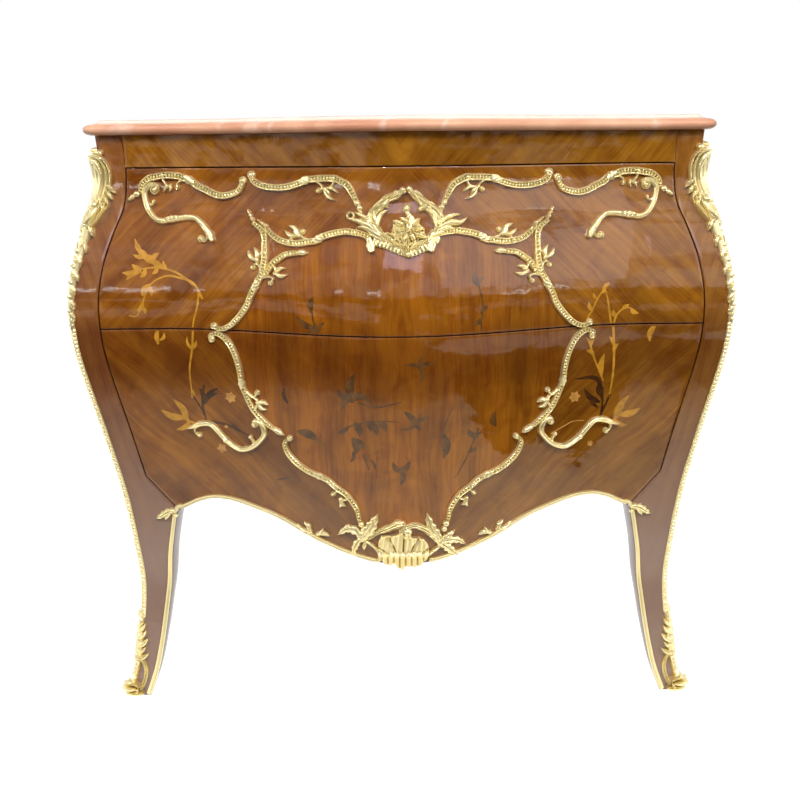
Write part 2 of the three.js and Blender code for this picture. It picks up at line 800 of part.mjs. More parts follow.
// The shell with its leaves at the tip of the apron
function shellMount(ground) {
  const leafShares = [
    [[0.056, 0.075], [0.23, 0.125]], [[0.051, 0.08], [0.095, 0.215]], [[0.045, 0.06], [0.174, 0.05]],
  ];
  const [middle, corner] = lowerPlaces(1, [[0, 0.065], [0.09, 0.145]]);
  const shellHeight = 2 * (corner[1] - middle[1]);
  const shell = lump(middle[0], middle[1], 2 * corner[0], shellHeight, 2 * leafHeight);
  const leaves = [1, -1].flatMap((side) => (
    leafShares.map((table) => leaf(...lowerPlaces(side, table), shellLeafWidth))
  ));
  return laidOn(ground, [shell, ...leaves]);
}

function apronMoulding(ground, side) {
  const span = stileInner(legTopHeight);
  const shares = [0.26, 0.376, 0.45, 0.524, 0.59, 0.655, 0.74, 0.818, 0.86, 0.9, 0.935, 0.96];
  const rise = filletWidth / 2 + filletInset;
  const points = shares.map((share) => [side * share * span, apronHeight(share) + rise]);
  return laidOn(ground, [stem(points, filletWidth, filletHeight, filletStep)]);
}

function legMoulding(ground, side) {
  const heights = steps(legTopHeight - filletWidth / 2, filletWidth / 2, legFilletSteps);
  const inside = (z) => stileInner(z) + filletWidth / 2 + filletInset;
  const points = heights.map((z) => [side * inside(z), z]);
  const top = legTopHeight - leafWidth / 2;
  const from = [side * inside(top), top];
  const to = [side * (inside(top) + legLeafReach), top - legLeafDrop];
  return laidOn(ground, [stem(points, filletWidth, filletHeight, filletStep), leaf(from, to)]);
}

// Assembly
const chest = new THREE.Group();
const sides = [['left', -1], ['right', 1]];

function addPiece(name, shape, material) {
  const geometry = shape.isBufferGeometry ? shape : geometryFrom(shape);
  const mesh = new THREE.Mesh(geometry, materials[material]);
  mesh.name = name;
  chest.add(mesh);
}

function addCarcass() {
  const bottomBoardTop = bottomBoardHeight + runnerBoardThickness;
  const dustTop = dustBoardHeight + runnerBoardThickness;
  const topInset = frontThickness + boardClearance;
  const runnerInset = frontThickness + frontToBoard;
  const backInset = backPanelThickness + boardClearance;
  addPiece('top_rail_front', curvedFront(friezeBottomHeight, carcassHeight, seatGap), 'veneer');
  const topRailBack = betweenBackPosts(friezeBottomHeight, carcassHeight, backRailThickness);
  addPiece('top_rail_back', topRailBack, 'carcass_wood');
  const backPanel = betweenBackPosts(bottomBoardHeight, friezeBottomHeight - seatGap, backPanelThickness);
  addPiece('back_panel', backPanel, 'carcass_wood');
  const topBack = backRailThickness + boardClearance;
  const topBoard = board(carcassHeight - topBoardThickness, carcassHeight, topInset, topBack);
  addPiece('top_board', topBoard, 'carcass_wood');
  addPiece('dust_board', board(dustBoardHeight, dustTop, runnerInset, backInset), 'carcass_wood');
  const bottomBoard = board(bottomBoardHeight, bottomBoardTop, runnerInset, backInset);
  addPiece('bottom_board', bottomBoard, 'carcass_wood');
  addPiece('marble_top', marbleTop(), 'marble');
}

function addPosts(name, side, post) {
  addPiece(`stile_front_${name}`, post, 'veneer');
  addPiece(`stile_back_${name}`, backPost(side), 'veneer');
  addPiece(`side_panel_${name}`, sidePanel(side), 'veneer');
}

function addCornerMounts(name, side, post) {
  const chuteReachAt = (share) => chuteReach * smoothAt(chuteReachShares, share);
  const chuteNoseAt = (share) => chuteNose * smoothAt(chuteNoseShares, share);
  const sabotReachAt = (share) => sabotReach * smoothAt(sabotReachShares, share);
  const sabotNoseAt = (share) => sabotNose * smoothAt(sabotNoseShares, share);
  const stripLow = sabotHeight + seatGap;
  const stripHigh = chuteBottomHeight - seatGap;
  const chute = cornerMount(side, chuteBottomHeight, chuteTopHeight, chuteReachAt, chuteNoseAt);
  const strip = cornerMount(side, stripLow, stripHigh, () => stripReach, () => stripNose);
  const sabot = cornerMount(side, floorClearance, sabotHeight, sabotReachAt, sabotNoseAt);
  addPiece(`chute_${name}`, chute, 'gilt_brass');
  addPiece(`corner_strip_${name}`, strip, 'gilt_brass');
  addPiece(`sabot_front_${name}`, sabot, 'gilt_brass');
  addPiece(`sabot_back_${name}`, backSabot(side), 'gilt_brass');
  addPiece(`leg_moulding_${name}`, legMoulding(post, side), 'gilt_brass');
}

function addDrawer(name, boxLow, boxHigh, front) {
  addPiece(`${name}_front`, front, 'veneer');
  for (const [part, shape] of Object.entries(drawerBox(boxLow, boxHigh, front))) {
    addPiece(`${name}_${part}`, shape, 'carcass_wood');
  }
  for (const [hand, side] of sides) {
    addPiece(`drawer_guide_${name}_${hand}`, drawerGuide(side, boxLow, boxHigh), 'carcass_wood');
  }
}

function addUpperDrawer() {
  const low = splitHeight + drawerGap / 2;
  const front = solidFrom(curvedFront(low, friezeBottomHeight - drawerGap, drawerGap));
  const boxLow = dustBoardHeight + runnerBoardThickness + seatGap;
  addDrawer('upper', boxLow, friezeBottomHeight - boxHeadroom, front);
  addPiece('cartouche', cartouche(front), 'gilt_brass');
  for (const [name, side] of sides) {
    for (const [part, shares] of Object.entries(scrollShares)) {
      addPiece(`${part}_${name}`, scroll(front, upperPlaces, side, shares), 'gilt_brass');
    }
    addPiece(`upper_pull_${name}`, pull(front, upperPlaces, side, upperPullShares), 'gilt_brass');
  }
}

function addLowerDrawer() {
  const high = splitHeight - drawerGap / 2;
  const whole = solidFrom(curvedFront(apronLowHeight, high, drawerGap));
  const front = whole.intersect(apronBlank());
  const boxLow = bottomBoardHeight + runnerBoardThickness + seatGap;
  addDrawer('lower', boxLow, dustBoardHeight - boxHeadroom / 2, front);
  addPiece('shell_mount', shellMount(front), 'gilt_brass');
  for (const [name, side] of sides) {
    for (const [part, shares] of Object.entries(lowerScrollShares)) {
      addPiece(`${part}_${name}`, scroll(front, lowerPlaces, side, shares), 'gilt_brass');
    }
    addPiece(`lower_pull_${name}`, pull(front, lowerPlaces, side, lowerPullShares), 'gilt_brass');
    addPiece(`apron_moulding_${name}`, apronMoulding(front, side), 'gilt_brass');
  }
}

addCarcass();
for (const [name, side] of sides) {
  const post = solidFrom(frontPost(side));
  addPosts(name, side, post);
  addCornerMounts(name, side, post);
}
addUpperDrawer();
addLowerDrawer();

// Bring the middle of the chest over the origin
const box = new THREE.Box3().setFromObject(chest);
chest.position.set(-(box.min.x + box.max.x) / 2, -(box.min.y + box.max.y) / 2, -box.min.z);
chest.updateMatrixWorld(true);

export default chest;
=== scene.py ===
# Bombé commode chest: veneered case, two drawers, a marble top and gilt castings.
import math

import bmesh
import bpy
import numpy as np
from mathutils import Matrix, Vector


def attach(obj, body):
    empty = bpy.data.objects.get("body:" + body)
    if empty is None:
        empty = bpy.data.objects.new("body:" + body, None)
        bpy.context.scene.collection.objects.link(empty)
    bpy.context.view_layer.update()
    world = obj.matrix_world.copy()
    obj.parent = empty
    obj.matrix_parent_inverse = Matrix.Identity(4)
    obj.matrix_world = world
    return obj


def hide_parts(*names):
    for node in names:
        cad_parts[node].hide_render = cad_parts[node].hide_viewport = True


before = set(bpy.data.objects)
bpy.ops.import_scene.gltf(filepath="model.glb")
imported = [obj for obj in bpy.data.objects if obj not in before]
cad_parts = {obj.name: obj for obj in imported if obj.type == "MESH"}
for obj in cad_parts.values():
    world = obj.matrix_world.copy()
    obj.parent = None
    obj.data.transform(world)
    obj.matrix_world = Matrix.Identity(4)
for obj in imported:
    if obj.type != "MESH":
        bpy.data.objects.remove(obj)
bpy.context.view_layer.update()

MM = 0.001
# The body curve is measured from the back plane, which lies this far behind the origin
BACK_PLANE = 249.51

# Body curve, millimetres
CASE_HEIGHT = 878.0
SPLIT_HEIGHT = 597.04
FRIEZE_BOTTOM = 832.0
KNEE_HEIGHT = 363.0
LEG_TOP = 305.0
APRON_LOW = 250.0
APRON_PEAK = 327.5
ANKLE_HALF_WIDTH = 414.0
BELLY_HALF_WIDTH = 487.0
ANKLE_DEPTH = 323.0
BELLY_DEPTH = 385.0
SIDE_FLARE = 44.0
SIDE_WAVE_SHARE = 0.6
BOW_DEPTH = 113.9
BOW_HALF_WIDTH = 360.0
STILE_WIDTH = 39.0
STILE_DEPTH = 83.0
LEG_TOP_WIDTH = 76.0
BACK_STILE_WIDTH = 50.0
BACK_STILE_DEPTH = 45.0
BACK_LEG_SLIM = 0.45
FRONT_THICKNESS = 22.0
PANEL_THICKNESS = 18.0
DRAWER_GAP = 2.0
ARRIS = 3.0
EDGE_ROUND = 1.1
DRAWER_EDGE_ROUND = 0.6
POST_BEVEL = 8.0
MARBLE_TOP = 900.0
MARBLE_OVERHANG = 16.0
MARBLE_CORNER = 14.0

# Gap between parts that touch on the real chest, and under what must stay above the floor
CLEARANCE = 0.3
# How much of an edge's rounding its middle point takes
EDGE_MIDDLE = 0.3
# Height that the rounding of the fronts' lower and upper edges is scaled by
FRONT_HEIGHT = 250.0
# Edges that turn more than this are shaded sharp, degrees
SHARP_ANGLE = 42
# Points closer than this are one point, metres
SAME_PLACE = 0.00001

# Castings and inlays: spacing of their points, depth in the wood, and rounding of their rims
CELL = 0.6
SINK = 0.3
ROUNDED_RIM = 0.7
# Stands for how far inside a stroke the points far from it lie
OUTSIDE = -99.0

SWELL = [
    (0, 0.27), (0.07, 0.135), (0.14, 0.045), (0.21, 0), (0.27, 0.065), (0.38, 0.25), (0.49, 0.53),
    (0.6, 0.84), (0.65, 0.955), (0.7, 1), (0.74, 0.98), (0.79, 0.87), (0.84, 0.67), (0.88, 0.48),
    (0.92, 0.415), (0.97, 0.42), (1, 0.45),
]
LEG_WIDTH = [
    (0, 0.35), (0.12, 0.44), (0.26, 0.49), (0.41, 0.535), (0.535, 0.576), (0.735, 0.69), (0.9, 0.87), (1, 1),
]
LEG_DEPTH = [(0, 0.42), (0.26, 0.5), (0.41, 0.57), (0.535, 0.64), (0.735, 0.79), (1, 1)]
APRON = [
    (0, 0), (0.1, 0.005), (0.22, 0.135), (0.376, 0.387), (0.524, 0.7), (0.655, 0.885), (0.75, 0.985),
    (0.83, 1), (0.9, 0.92), (0.969, 0.774), (1, 0.71),
]
SIDE_APRON = [(0, 0), (0.12, 0.7), (0.28, 1), (0.5, 0.55), (0.72, 1), (0.88, 0.7), (1, 0)]


def smooth_at(table, share):
    """The value of a smooth curve through the table's points."""
    xs = np.array([row[0] for row in table], float)
    ys = np.array([row[1] for row in table], float)
    slopes = np.empty(len(xs))
    slopes[1:-1] = (ys[2:] - ys[:-2]) / (xs[2:] - xs[:-2])
    slopes[0] = (ys[1] - ys[0]) / (xs[1] - xs[0])
    slopes[-1] = (ys[-1] - ys[-2]) / (xs[-1] - xs[-2])
    share = np.asarray(share, float)
    cell = np.clip(np.searchsorted(xs, share, side="right") - 1, 0, len(xs) - 2)
    span = xs[cell + 1] - xs[cell]
    t = (share - xs[cell]) / span
    ease = t * t * (3 - 2 * t)
    leave = t * (1 - t) ** 2 * slopes[cell]
    arrive = t * t * (1 - t) * slopes[cell + 1]
    return ys[cell] + (ys[cell + 1] - ys[cell]) * ease + span * (leave - arrive)


def swell(z):
    return smooth_at(SWELL, np.clip(np.asarray(z, float) / CASE_HEIGHT, 0, 1))


def half_width(z):
    return ANKLE_HALF_WIDTH + (BELLY_HALF_WIDTH - ANKLE_HALF_WIDTH) * swell(z)


def corner_depth(z):
    return ANKLE_DEPTH + (BELLY_DEPTH - ANKLE_DEPTH) * swell(z)


def bow(x):
    reach = np.minimum(np.abs(x) / BOW_HALF_WIDTH, 1)
    return BOW_DEPTH * np.cos(np.pi / 2 * reach) ** 2


def front_y(x, z):
    return -(corner_depth(z) + bow(x))


def side_x(y, z):
    t = 1 + y / corner_depth(z)
    wave = SIDE_WAVE_SHARE * np.sin(2 * np.pi * t) / (2 * np.pi)
    return half_width(z) + SIDE_FLARE * (t - wave)


def stile_inner(z):
    z = np.asarray(z, float)
    knee = half_width(KNEE_HEIGHT) - STILE_WIDTH
    top = half_width(LEG_TOP) - LEG_TOP_WIDTH
    slant = top + (knee - top) * (z - LEG_TOP) / (KNEE_HEIGHT - LEG_TOP)
    leg = half_width(z) - LEG_TOP_WIDTH * smooth_at(LEG_WIDTH, np.clip(z / LEG_TOP, 0, 1))
    return np.where(z >= KNEE_HEIGHT, half_width(z) - STILE_WIDTH, np.where(z >= LEG_TOP, slant, leg))


def apron_height(share):
    return APRON_LOW + (APRON_PEAK - APRON_LOW) * smooth_at(APRON, np.abs(share))


def in_frame(points):
    """Points in millimetres from the back plane, brought to the shared frame in metres."""
    points = np.asarray(points, float).reshape(-1, 3)
    return (points + [0, BACK_PLANE, 0]) * MM


# Pieces
def piece(name, points, faces, body, material, stands_for):
    mesh = bpy.data.meshes.new(name)
    mesh.from_pydata(in_frame(points).tolist(), [], [list(map(int, face)) for face in faces])
    mesh.validate()
    mesh.update()
    mesh.polygons.foreach_set("use_smooth", [True] * len(mesh.polygons))
    made = bpy.data.objects.new(name, mesh)
    bpy.context.scene.collection.objects.link(made)
    mesh.materials.append(material)
    make_faces_point_out(made)
    mesh.set_sharp_from_angle(angle=math.radians(SHARP_ANGLE))
    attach(made, body)
    if stands_for:
        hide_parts(*stands_for)


def make_faces_point_out(made):
    shape = bmesh.new()
    shape.from_mesh(made.data)
    bmesh.ops.remove_doubles(shape, verts=shape.verts, dist=SAME_PLACE)
    bmesh.ops.recalc_face_normals(shape, faces=shape.faces)
    shape.to_mesh(made.data)
    shape.free()


def steps(start, end, count):
    return np.linspace(start, end, count + 1)


def slab(outer, inner):
    """A sheet between two grids of points, closed along its four edges."""
    rows, columns = outer.shape[:2]
    back = rows * columns
    points = np.concatenate([outer.reshape(-1, 3), inner.reshape(-1, 3)])
    at = np.arange(back).reshape(rows, columns)
    a, b, c, d = at[:-1, :-1], at[:-1, 1:], at[1:, 1:], at[1:, :-1]
    faces = [np.stack([a, b, c, d], -1).reshape(-1, 4), np.stack([a, d, c, b], -1).reshape(-1, 4) + back]
    for edge, turned in ((at[:, 0], False), (at[:, -1], True), (at[0], True), (at[-1], False)):
        wall = np.stack([edge[:-1], edge[1:], edge[1:] + back, edge[:-1] + back], -1)
        faces.append(wall[:, ::-1] if turned else wall)
    return points, np.concatenate(faces)


def loft(rings):
    """A stack of closed rings of points with flat ends."""
    rings = np.asarray(rings, float)
    rows, count = rings.shape[:2]
    at = np.arange(rows * count).reshape(rows, count)
    after = np.roll(at, -1, axis=1)
    faces = np.stack([at[:-1], after[:-1], after[1:], at[1:]], -1).reshape(-1, 4).tolist()
    faces.append(at[0][::-1].tolist())
    faces.append(at[-1].tolist())
    return rings.reshape(-1, 3), faces


def softened(values, ease):
    """The rising values with two more beside each end, and how far each point sinks to round that edge."""
    low, high = values[0], values[-1]
    near = [low, low + ease * EDGE_MIDDLE, low + ease]
    far = [high - ease, high - ease * EDGE_MIDDLE, high]
    kept = [v for v in values if min(abs(v - low), abs(v - high)) > 1.5 * ease]
    sink = [ease, ease * EDGE_MIDDLE, 0] + [0] * len(kept) + [0, ease * EDGE_MIDDLE, ease]
    return np.array(near + kept + far), np.array(sink)


def curved_front(low_at, high, side_gap, rows=90, ease=EDGE_ROUND):
    """A bowed front board from a lower edge to a level, between the two corner posts."""
    columns = 180
    shares, across_sink = softened(list(steps(-1, 1, columns)), ease / BELLY_HALF_WIDTH)
    across_sink = across_sink * BELLY_HALF_WIDTH
    ups, up_sink = softened(list(steps(0, 1, rows)), ease / FRONT_HEIGHT)
    up_sink = up_sink * FRONT_HEIGHT
    low_side = low_at(1.0)
    lows = low_at(shares)
    outer = np.zeros((len(ups), len(shares), 3))
    for i, up in enumerate(ups):
        side_z = low_side + (high - low_side) * up
        x = shares * (stile_inner(side_z) - side_gap)
        z = lows + (high - lows) * up
        sink = np.maximum(across_sink, up_sink[i])
        outer[i] = np.stack([x, front_y(x, z) + sink, z], -1)
    inner = outer + [0, FRONT_THICKNESS, 0]
    inner[..., 1] -= np.maximum(across_sink[None, :], up_sink[:, None])
    return slab(outer, inner)


# Colours and material nodes
def colour(code):
    """An sRGB hex code as linear colour."""
    parts = [int(code[i:i + 2], 16) / 255 for i in (1, 3, 5)]
    return tuple(p / 12.92 if p <= 0.04045 else ((p + 0.055) / 1.055) ** 2.4 for p in parts) + (1.0,)


def node(tree, kind, links=None, **settings):
    """Adds a node with its settings, and joins the given inputs to other nodes' outputs."""
    made = tree.nodes.new(kind)
    for key, value in settings.items():
        setattr(made, key, value)
    for key, value in (links or {}).items():
        if isinstance(value, bpy.types.NodeSocket):
            tree.links.new(value, made.inputs[key])
        else:
            made.inputs[key].default_value = value
    return made


def spot_in(tree):
    """Where the shaded point lies in the shared frame, metres."""
    return node(tree, "ShaderNodeTexCoord").outputs["Object"]


def parts_of(tree, vector):
    """A vector's three numbers: across, depth and height."""
    return node(tree, "ShaderNodeSeparateXYZ", {0: vector}).outputs


def maths(tree, operation, *values):
    return node(tree, "ShaderNodeMath", dict(enumerate(values)), operation=operation).outputs[0]


def noise(tree, at, scale, detail, distortion=0.0, roughness=0.5):
    return node(tree, "ShaderNodeTexNoise", {
        "Vector": at, "Scale": scale, "Detail": detail, "Distortion": distortion, "Roughness": roughness,
    }).outputs[0]


def ramp(tree, value, low, high, start=0.0, end=1.0, kind="LINEAR"):
    """From start where the value is low to end where it is high, and level beyond."""
    return node(tree, "ShaderNodeMapRange", {0: value, 1: low, 2: high, 3: start, 4: end},
                interpolation_type=kind).outputs[0]


def blend(tree, share, first, second, kind="MIX"):
    """One colour turning into another by a share; a colour is a hex code or another node's output."""
    first, second = (colour(c) if isinstance(c, str) else c for c in (first, second))
    return node(tree, "ShaderNodeMix", {"Factor": share, 6: first, 7: second},
                data_type="RGBA", blend_type=kind).outputs[2]


def glow_only(tree, code, strength):
    """Makes a stage material give off light and do nothing else."""
    shine = node(tree, "ShaderNodeEmission", {"Color": colour(code), "Strength": strength}).outputs[0]
    tree.links.new(shine, tree.nodes["Material Output"].inputs["Surface"])


# Castings and inlays: each is drawn flat as strokes in millimetres, then laid on the body
def length_along(points):
    """How far along a line each of its points lies."""
    return np.concatenate([[0], np.cumsum(np.hypot(*np.diff(points, axis=0).T))])


def curve_through(points, spacing=0.7):
    """Closely spaced points of a smooth curve through the given ones."""
    points = np.asarray(points, float)
    run = length_along(points)
    at = np.linspace(0, run[-1], max(int(run[-1] / spacing), 4) + 1)
    return np.stack([smooth_at(np.stack([run, points[:, k]], -1), at) for k in (0, 1)], -1)


def along_table(table, share):
    return smooth_at(table, share) if np.ndim(table) else np.full(np.shape(share), float(table))


def batches(points):
    """The points in groups small enough to be measured at once."""
    return np.array_split(points, len(points) // 4000 + 1)


def near_stroke(u, w, low, high):
    """Which points lie in the box round a stroke."""
    return (u > low[0]) & (u < high[0]) & (w > low[1]) & (w < high[1])


def ribbon(points, width, rise, section):
    """A swept form with a width and a rise along it, and a section across it."""
    line = curve_through(points)
    run = length_along(line)
    tangent = np.gradient(line, axis=0)
    tangent /= np.hypot(*tangent.T)[:, None] + 1e-9
    last = len(line) - 1
    reach = 0.5 * np.max(along_table(width, np.linspace(0, 1, 40))) + 2
    low, high = line.min(0) - reach, line.max(0) + reach

    def draw(u, w):
        margin = np.full(u.shape, OUTSIDE)
        height = np.zeros(u.shape)
        near = near_stroke(u, w, low, high)
        at = np.stack([u[near], w[near]], -1)
        closest = np.concatenate([
            ((part[:, None] - line[None]) ** 2).sum(-1).argmin(1) for part in batches(at)
        ])
        away = at - line[closest]
        along = (away * tangent[closest]).sum(-1)
        aside = tangent[closest, 0] * away[:, 1] - tangent[closest, 1] * away[:, 0]
        beyond = ((closest == 0) & (along < 0)) | ((closest == last) & (along > 0))
        distance = np.where(beyond, np.hypot(*away.T), np.abs(aside))
        share = np.clip((run[closest] + along) / run[-1], 0, 1)
        half = np.maximum(along_table(width, share) / 2, 0.05)
        margin[near] = half - distance
        v = np.clip(aside / half, -1, 1)
        height[near] = along_table(rise, share) * section(v, run[closest] + along, share)
        return margin, height

    draw.low, draw.high = low, high
    return draw


def bead(at, radius, rise, groove=0.0):
    """A round boss, with a groove round it where it is the eye of a curl."""
    at = np.asarray(at, float)

    def draw(u, w):
        distance = np.hypot(u - at[0], w - at[1])
        share = np.minimum(distance / radius, 1)
        dome = np.sqrt(1 - 0.9 * share ** 2)
        ring = np.exp(-((share - 0.55) / 0.14) ** 2)
        return radius - distance, rise * (dome - groove * ring)

    draw.low, draw.high = at - radius - 1, at + radius + 1
    return draw


def plate(outline, rise, pattern):
    """A form that fills a closed outline, with a height pattern over it."""
    edge = curve_through(list(outline) + [outline[0]], 1.0)[:-1]
    after = np.roll(edge, -1, axis=0)
    low, high = edge.min(0) - 2, edge.max(0) + 2

    def draw(u, w):
        margin = np.full(u.shape, OUTSIDE)
        height = np.zeros(u.shape)
        near = near_stroke(u, w, low, high)
        at = np.stack([u[near], w[near]], -1)
        distance, inside = np.zeros(len(at)), np.zeros(len(at), bool)
        for part in batches(np.arange(len(at))):
            spot = at[part, None]
            distance[part] = np.sqrt(((spot - edge[None]) ** 2).sum(-1).min(1))
            crosses = (edge[None, :, 1] > spot[..., 1]) != (after[None, :, 1] > spot[..., 1])
            drop = np.where(after[:, 1] == edge[:, 1], 1e-9, after[:, 1] - edge[:, 1])
            meet = edge[:, 0] + (spot[..., 1] - edge[:, 1]) * (after[:, 0] - edge[:, 0]) / drop
            inside[part] = (crosses & (spot[..., 0] < meet)).sum(1) % 2 == 1
        margin[near] = np.where(inside, distance, -distance)
        height[near] = rise * pattern(at[:, 0], at[:, 1], margin[near])
        return margin, height

    draw.low, draw.high = low, high
    return draw


def notched(v, run, share):
    """Two smooth rims, with a row of small ribs parted by gaps across the channel between them."""
    rims = np.exp(-((np.abs(v) - 0.78) / 0.29) ** 4)
    turn = np.abs((run / 4.6) % 1 - 0.5) * 2
    ribs = 1 - np.exp(-(turn / 0.5) ** 2)
    return 0.06 + 0.94 * rims + (0.08 + 0.6 * ribs) * np.exp(-(v / 0.45) ** 6)


def rounded(v, run, share):
    """A round stem with one fine line chased along it."""
    return np.sqrt(1 - 0.85 * v ** 2) - 0.2 * np.exp(-((v - 0.3) / 0.13) ** 2)


def banded(v, run, share):
    """A flat fillet with a fine raised line along each edge."""
    return 0.75 + 0.25 * np.exp(-((np.abs(v) - 0.7) / 0.2) ** 2)


def wrapped(v, run, share):
    """A leaf wrapped slantwise round a stem."""
    return np.sqrt(1 - 0.7 * v ** 2) * (0.92 + 0.08 * np.cos(2 * np.pi * (run / 6.5 - 0.9 * v)))


def veined(v, run, share):
    """A leaf that falls to both sides of a sunk midrib."""
    return 1 - 0.45 * v ** 2 - 0.32 * np.exp(-(v / 0.17) ** 2)


def ridged(v, run, share):
    """A fleshy acanthus leaf with folds running along it."""
    return np.sqrt(1 - 0.65 * v ** 2) * (0.84 + 0.16 * np.cos(2 * np.pi * (1.6 * v + 0.5 * share + 0.15)))


def flat(v, run, share):
    return np.zeros(np.shape(v))


LEAF_WIDTH = [(0, 0.45), (0.25, 0.88), (0.45, 1), (0.7, 0.78), (0.88, 0.42), (1, 0.12)]
LOBED_WIDTH = [
    (0, 0.4), (0.14, 0.8), (0.22, 0.62), (0.36, 1), (0.46, 0.74), (0.58, 0.9), (0.68, 0.58), (0.8, 0.6),
    (0.88, 0.34), (1, 0.08),
]


def scaled(table, size):
    return [(share, value * size) for share, value in table]


def leaf(points, width, rise, section=veined, outline=LEAF_WIDTH):
    return ribbon(points, scaled(outline, width), [(0, rise), (0.6, rise), (1, 0.45 * rise)], section)


def combined(strokes, cell, limit):
    """The strokes drawn on one grid: its points, how far inside the outline each one is, and its height."""
    low = np.min([s.low for s in strokes], 0)
    high = np.max([s.high for s in strokes], 0)
    u, w = np.meshgrid(np.arange(low[0], high[0] + cell, cell), np.arange(low[1], high[1] + cell, cell))
    margin = np.full(u.shape, OUTSIDE)
    height = np.zeros(u.shape)
    for stroke in strokes:
        m, h = stroke(u.ravel(), w.ravel())
        m, h = m.reshape(u.shape), h.reshape(u.shape)
        h = h * np.sqrt(np.clip(m / ROUNDED_RIM, 0, 1))
        height = np.maximum(height, np.where(m > 0, h, 0))
        margin = np.maximum(margin, m)
    if limit is not None:
        margin = np.minimum(margin, limit(u, w))
    return u, w, margin, height


def cells_filled(inside):
    """Which cells of the grid hold part of the form; cells that touch at a corner only are bridged."""
    cells = inside[:-1, :-1] | inside[1:, :-1] | inside[:-1, 1:] | inside[1:, 1:]
    cells[1:, :-1] |= cells[:-1, :-1] & cells[1:, 1:] & ~cells[1:, :-1] & ~cells[:-1, 1:]
    cells[:-1, :-1] |= cells[1:, :-1] & cells[:-1, 1:] & ~cells[:-1, :-1] & ~cells[1:, 1:]
    return cells


def pulled_to_outline(u, w, margin, cell):
    """The grid with its points just outside the form moved in to the outline."""
    slope_w, slope_u = np.gradient(margin, cell)
    steep = np.maximum(slope_u ** 2 + slope_w ** 2, 0.3)
    pull = np.where(margin > 0, 0, np.clip(-margin / steep, 0, 1.2 * cell))
    return u + pull * slope_u, w + pull * slope_w


def rim_walls(cells, index, count):
    """Faces that join the front of a form to its back, wherever a filled cell has an empty neighbour."""
    kept = np.pad(cells, 1)
    below, above = kept[:-1, 1:-1], kept[1:, 1:-1]
    left, right = kept[1:-1, :-1], kept[1:-1, 1:]
    walls = []
    for first, second, starts, ends in (
        (below, above, index[:, :-1], index[:, 1:]), (right, left, index[:-1], index[1:]),
    ):
        for empty, filled, turned in ((first, second, False), (second, first, True)):
            at = filled & ~empty
            s, e = starts[at], ends[at]
            if turned:
                s, e = e, s
            walls.append(np.stack([s, s + count, e + count, e], -1))
    return walls


def relief(name, strokes, place, body, material, stands_for=(), cell=CELL, edge=0.9,
           limit=None):
    """One solid whose face is the height of the strokes, laid on the body by place(u, w, height)."""
    u, w, margin, height = combined(strokes, cell, limit)
    inside = margin > 0
    cells = cells_filled(inside)
    u, w = pulled_to_outline(u, w, margin, cell)
    top = edge + np.where(inside, height, 0)
    used = np.zeros(margin.shape, bool)
    for corner in (used[:-1, :-1], used[1:, :-1], used[:-1, 1:], used[1:, 1:]):
        corner |= cells
    count = int(used.sum())
    index = np.full(margin.shape, -1)
    index[used] = np.arange(count)
    a, b, c, d = index[:-1, :-1], index[:-1, 1:], index[1:, 1:], index[1:, :-1]
    face = np.stack([a, b, c, d], -1)[cells]
    faces = np.concatenate([face, face[:, ::-1] + count] + rim_walls(cells, index, count))
    front = place(u[used], w[used], top[used])
    back = place(u[used], w[used], np.full(count, -SINK))
    piece(name, np.concatenate([front, back]), faces.tolist(), body, material, stands_for)


def slopes_of(surface, first, second):
    """How fast a surface rises along each of its two directions."""
    step = 0.5
    by_first = (surface(first + step, second) - surface(first - step, second)) / (2 * step)
    by_second = (surface(first, second + step) - surface(first, second - step)) / (2 * step)
    return by_first, by_second


def lifted(at, out, lift):
    """The points moved off the body in the directions that face out of it."""
    return at + out / np.linalg.norm(out, axis=1)[:, None] * np.asarray(lift)[:, None]


def on_front(side):
    """Places flat drawings on the bowed front: u is outwards from the middle, w is the height."""
    def place(u, w, lift):
        x = side * u
        across, up = slopes_of(front_y, x, w)
        out = np.stack([across, -np.ones_like(up), up], -1)
        return lifted(np.stack([x, front_y(x, w), w], -1), out, lift)
    return place


def on_corner(side):
    """Places drawings round a front corner: u is in from the arris, or round the side where negative."""
    half_blend = 6

    def place(u, w, lift):
        x_front = half_width(w) - np.maximum(u, 0)
        y_front = front_y(x_front, w)
        up = slopes_of(front_y, x_front, w)[1]
        y_side = np.maximum(-u, 0) - corner_depth(w)
        x_side = side_x(y_side, w)
        by_y, by_z = slopes_of(side_x, y_side, w)
        front_out = np.stack([np.zeros_like(up), -np.ones_like(up), up], -1)
        side_out = np.stack([np.ones_like(by_y), -by_y, -by_z], -1)
        turn = np.clip((u + half_blend) / (2 * half_blend), 0, 1)
        turn = (turn * turn * (3 - 2 * turn))[:, None]
        out = front_out * turn + side_out * (1 - turn)
        on_the_front = np.stack([x_front, y_front, w], -1)
        on_the_side = np.stack([x_side, y_side, w], -1)
        made = lifted(np.where((u >= 0)[:, None], on_the_front, on_the_side), out, lift)
        made[:, 0] *= side
        made[:, 2] = np.maximum(made[:, 2], CLEARANCE)
        return made
    return place


def on_back_corner(side):
    """Places drawings on the side face beside a back corner: u is forwards from that corner."""
    def place(u, w, lift):
        y = -u
        by_y, by_z = slopes_of(side_x, y, w)
        out = np.stack([np.ones_like(by_y), -by_y, -by_z], -1)
        made = lifted(np.stack([side_x(y, w), y, w], -1), out, lift)
        made[:, 0] *= side
        made[:, 1] = np.minimum(made[:, 1], -CLEARANCE)
        made[:, 2] = np.maximum(made[:, 2], CLEARANCE)
        return made
    return place


# Materials
def new_material(name):
    made = bpy.data.materials.new(name)
    made.use_nodes = True
    tree = made.node_tree
    shader = tree.nodes["Principled BSDF"]
    return made, tree, shader


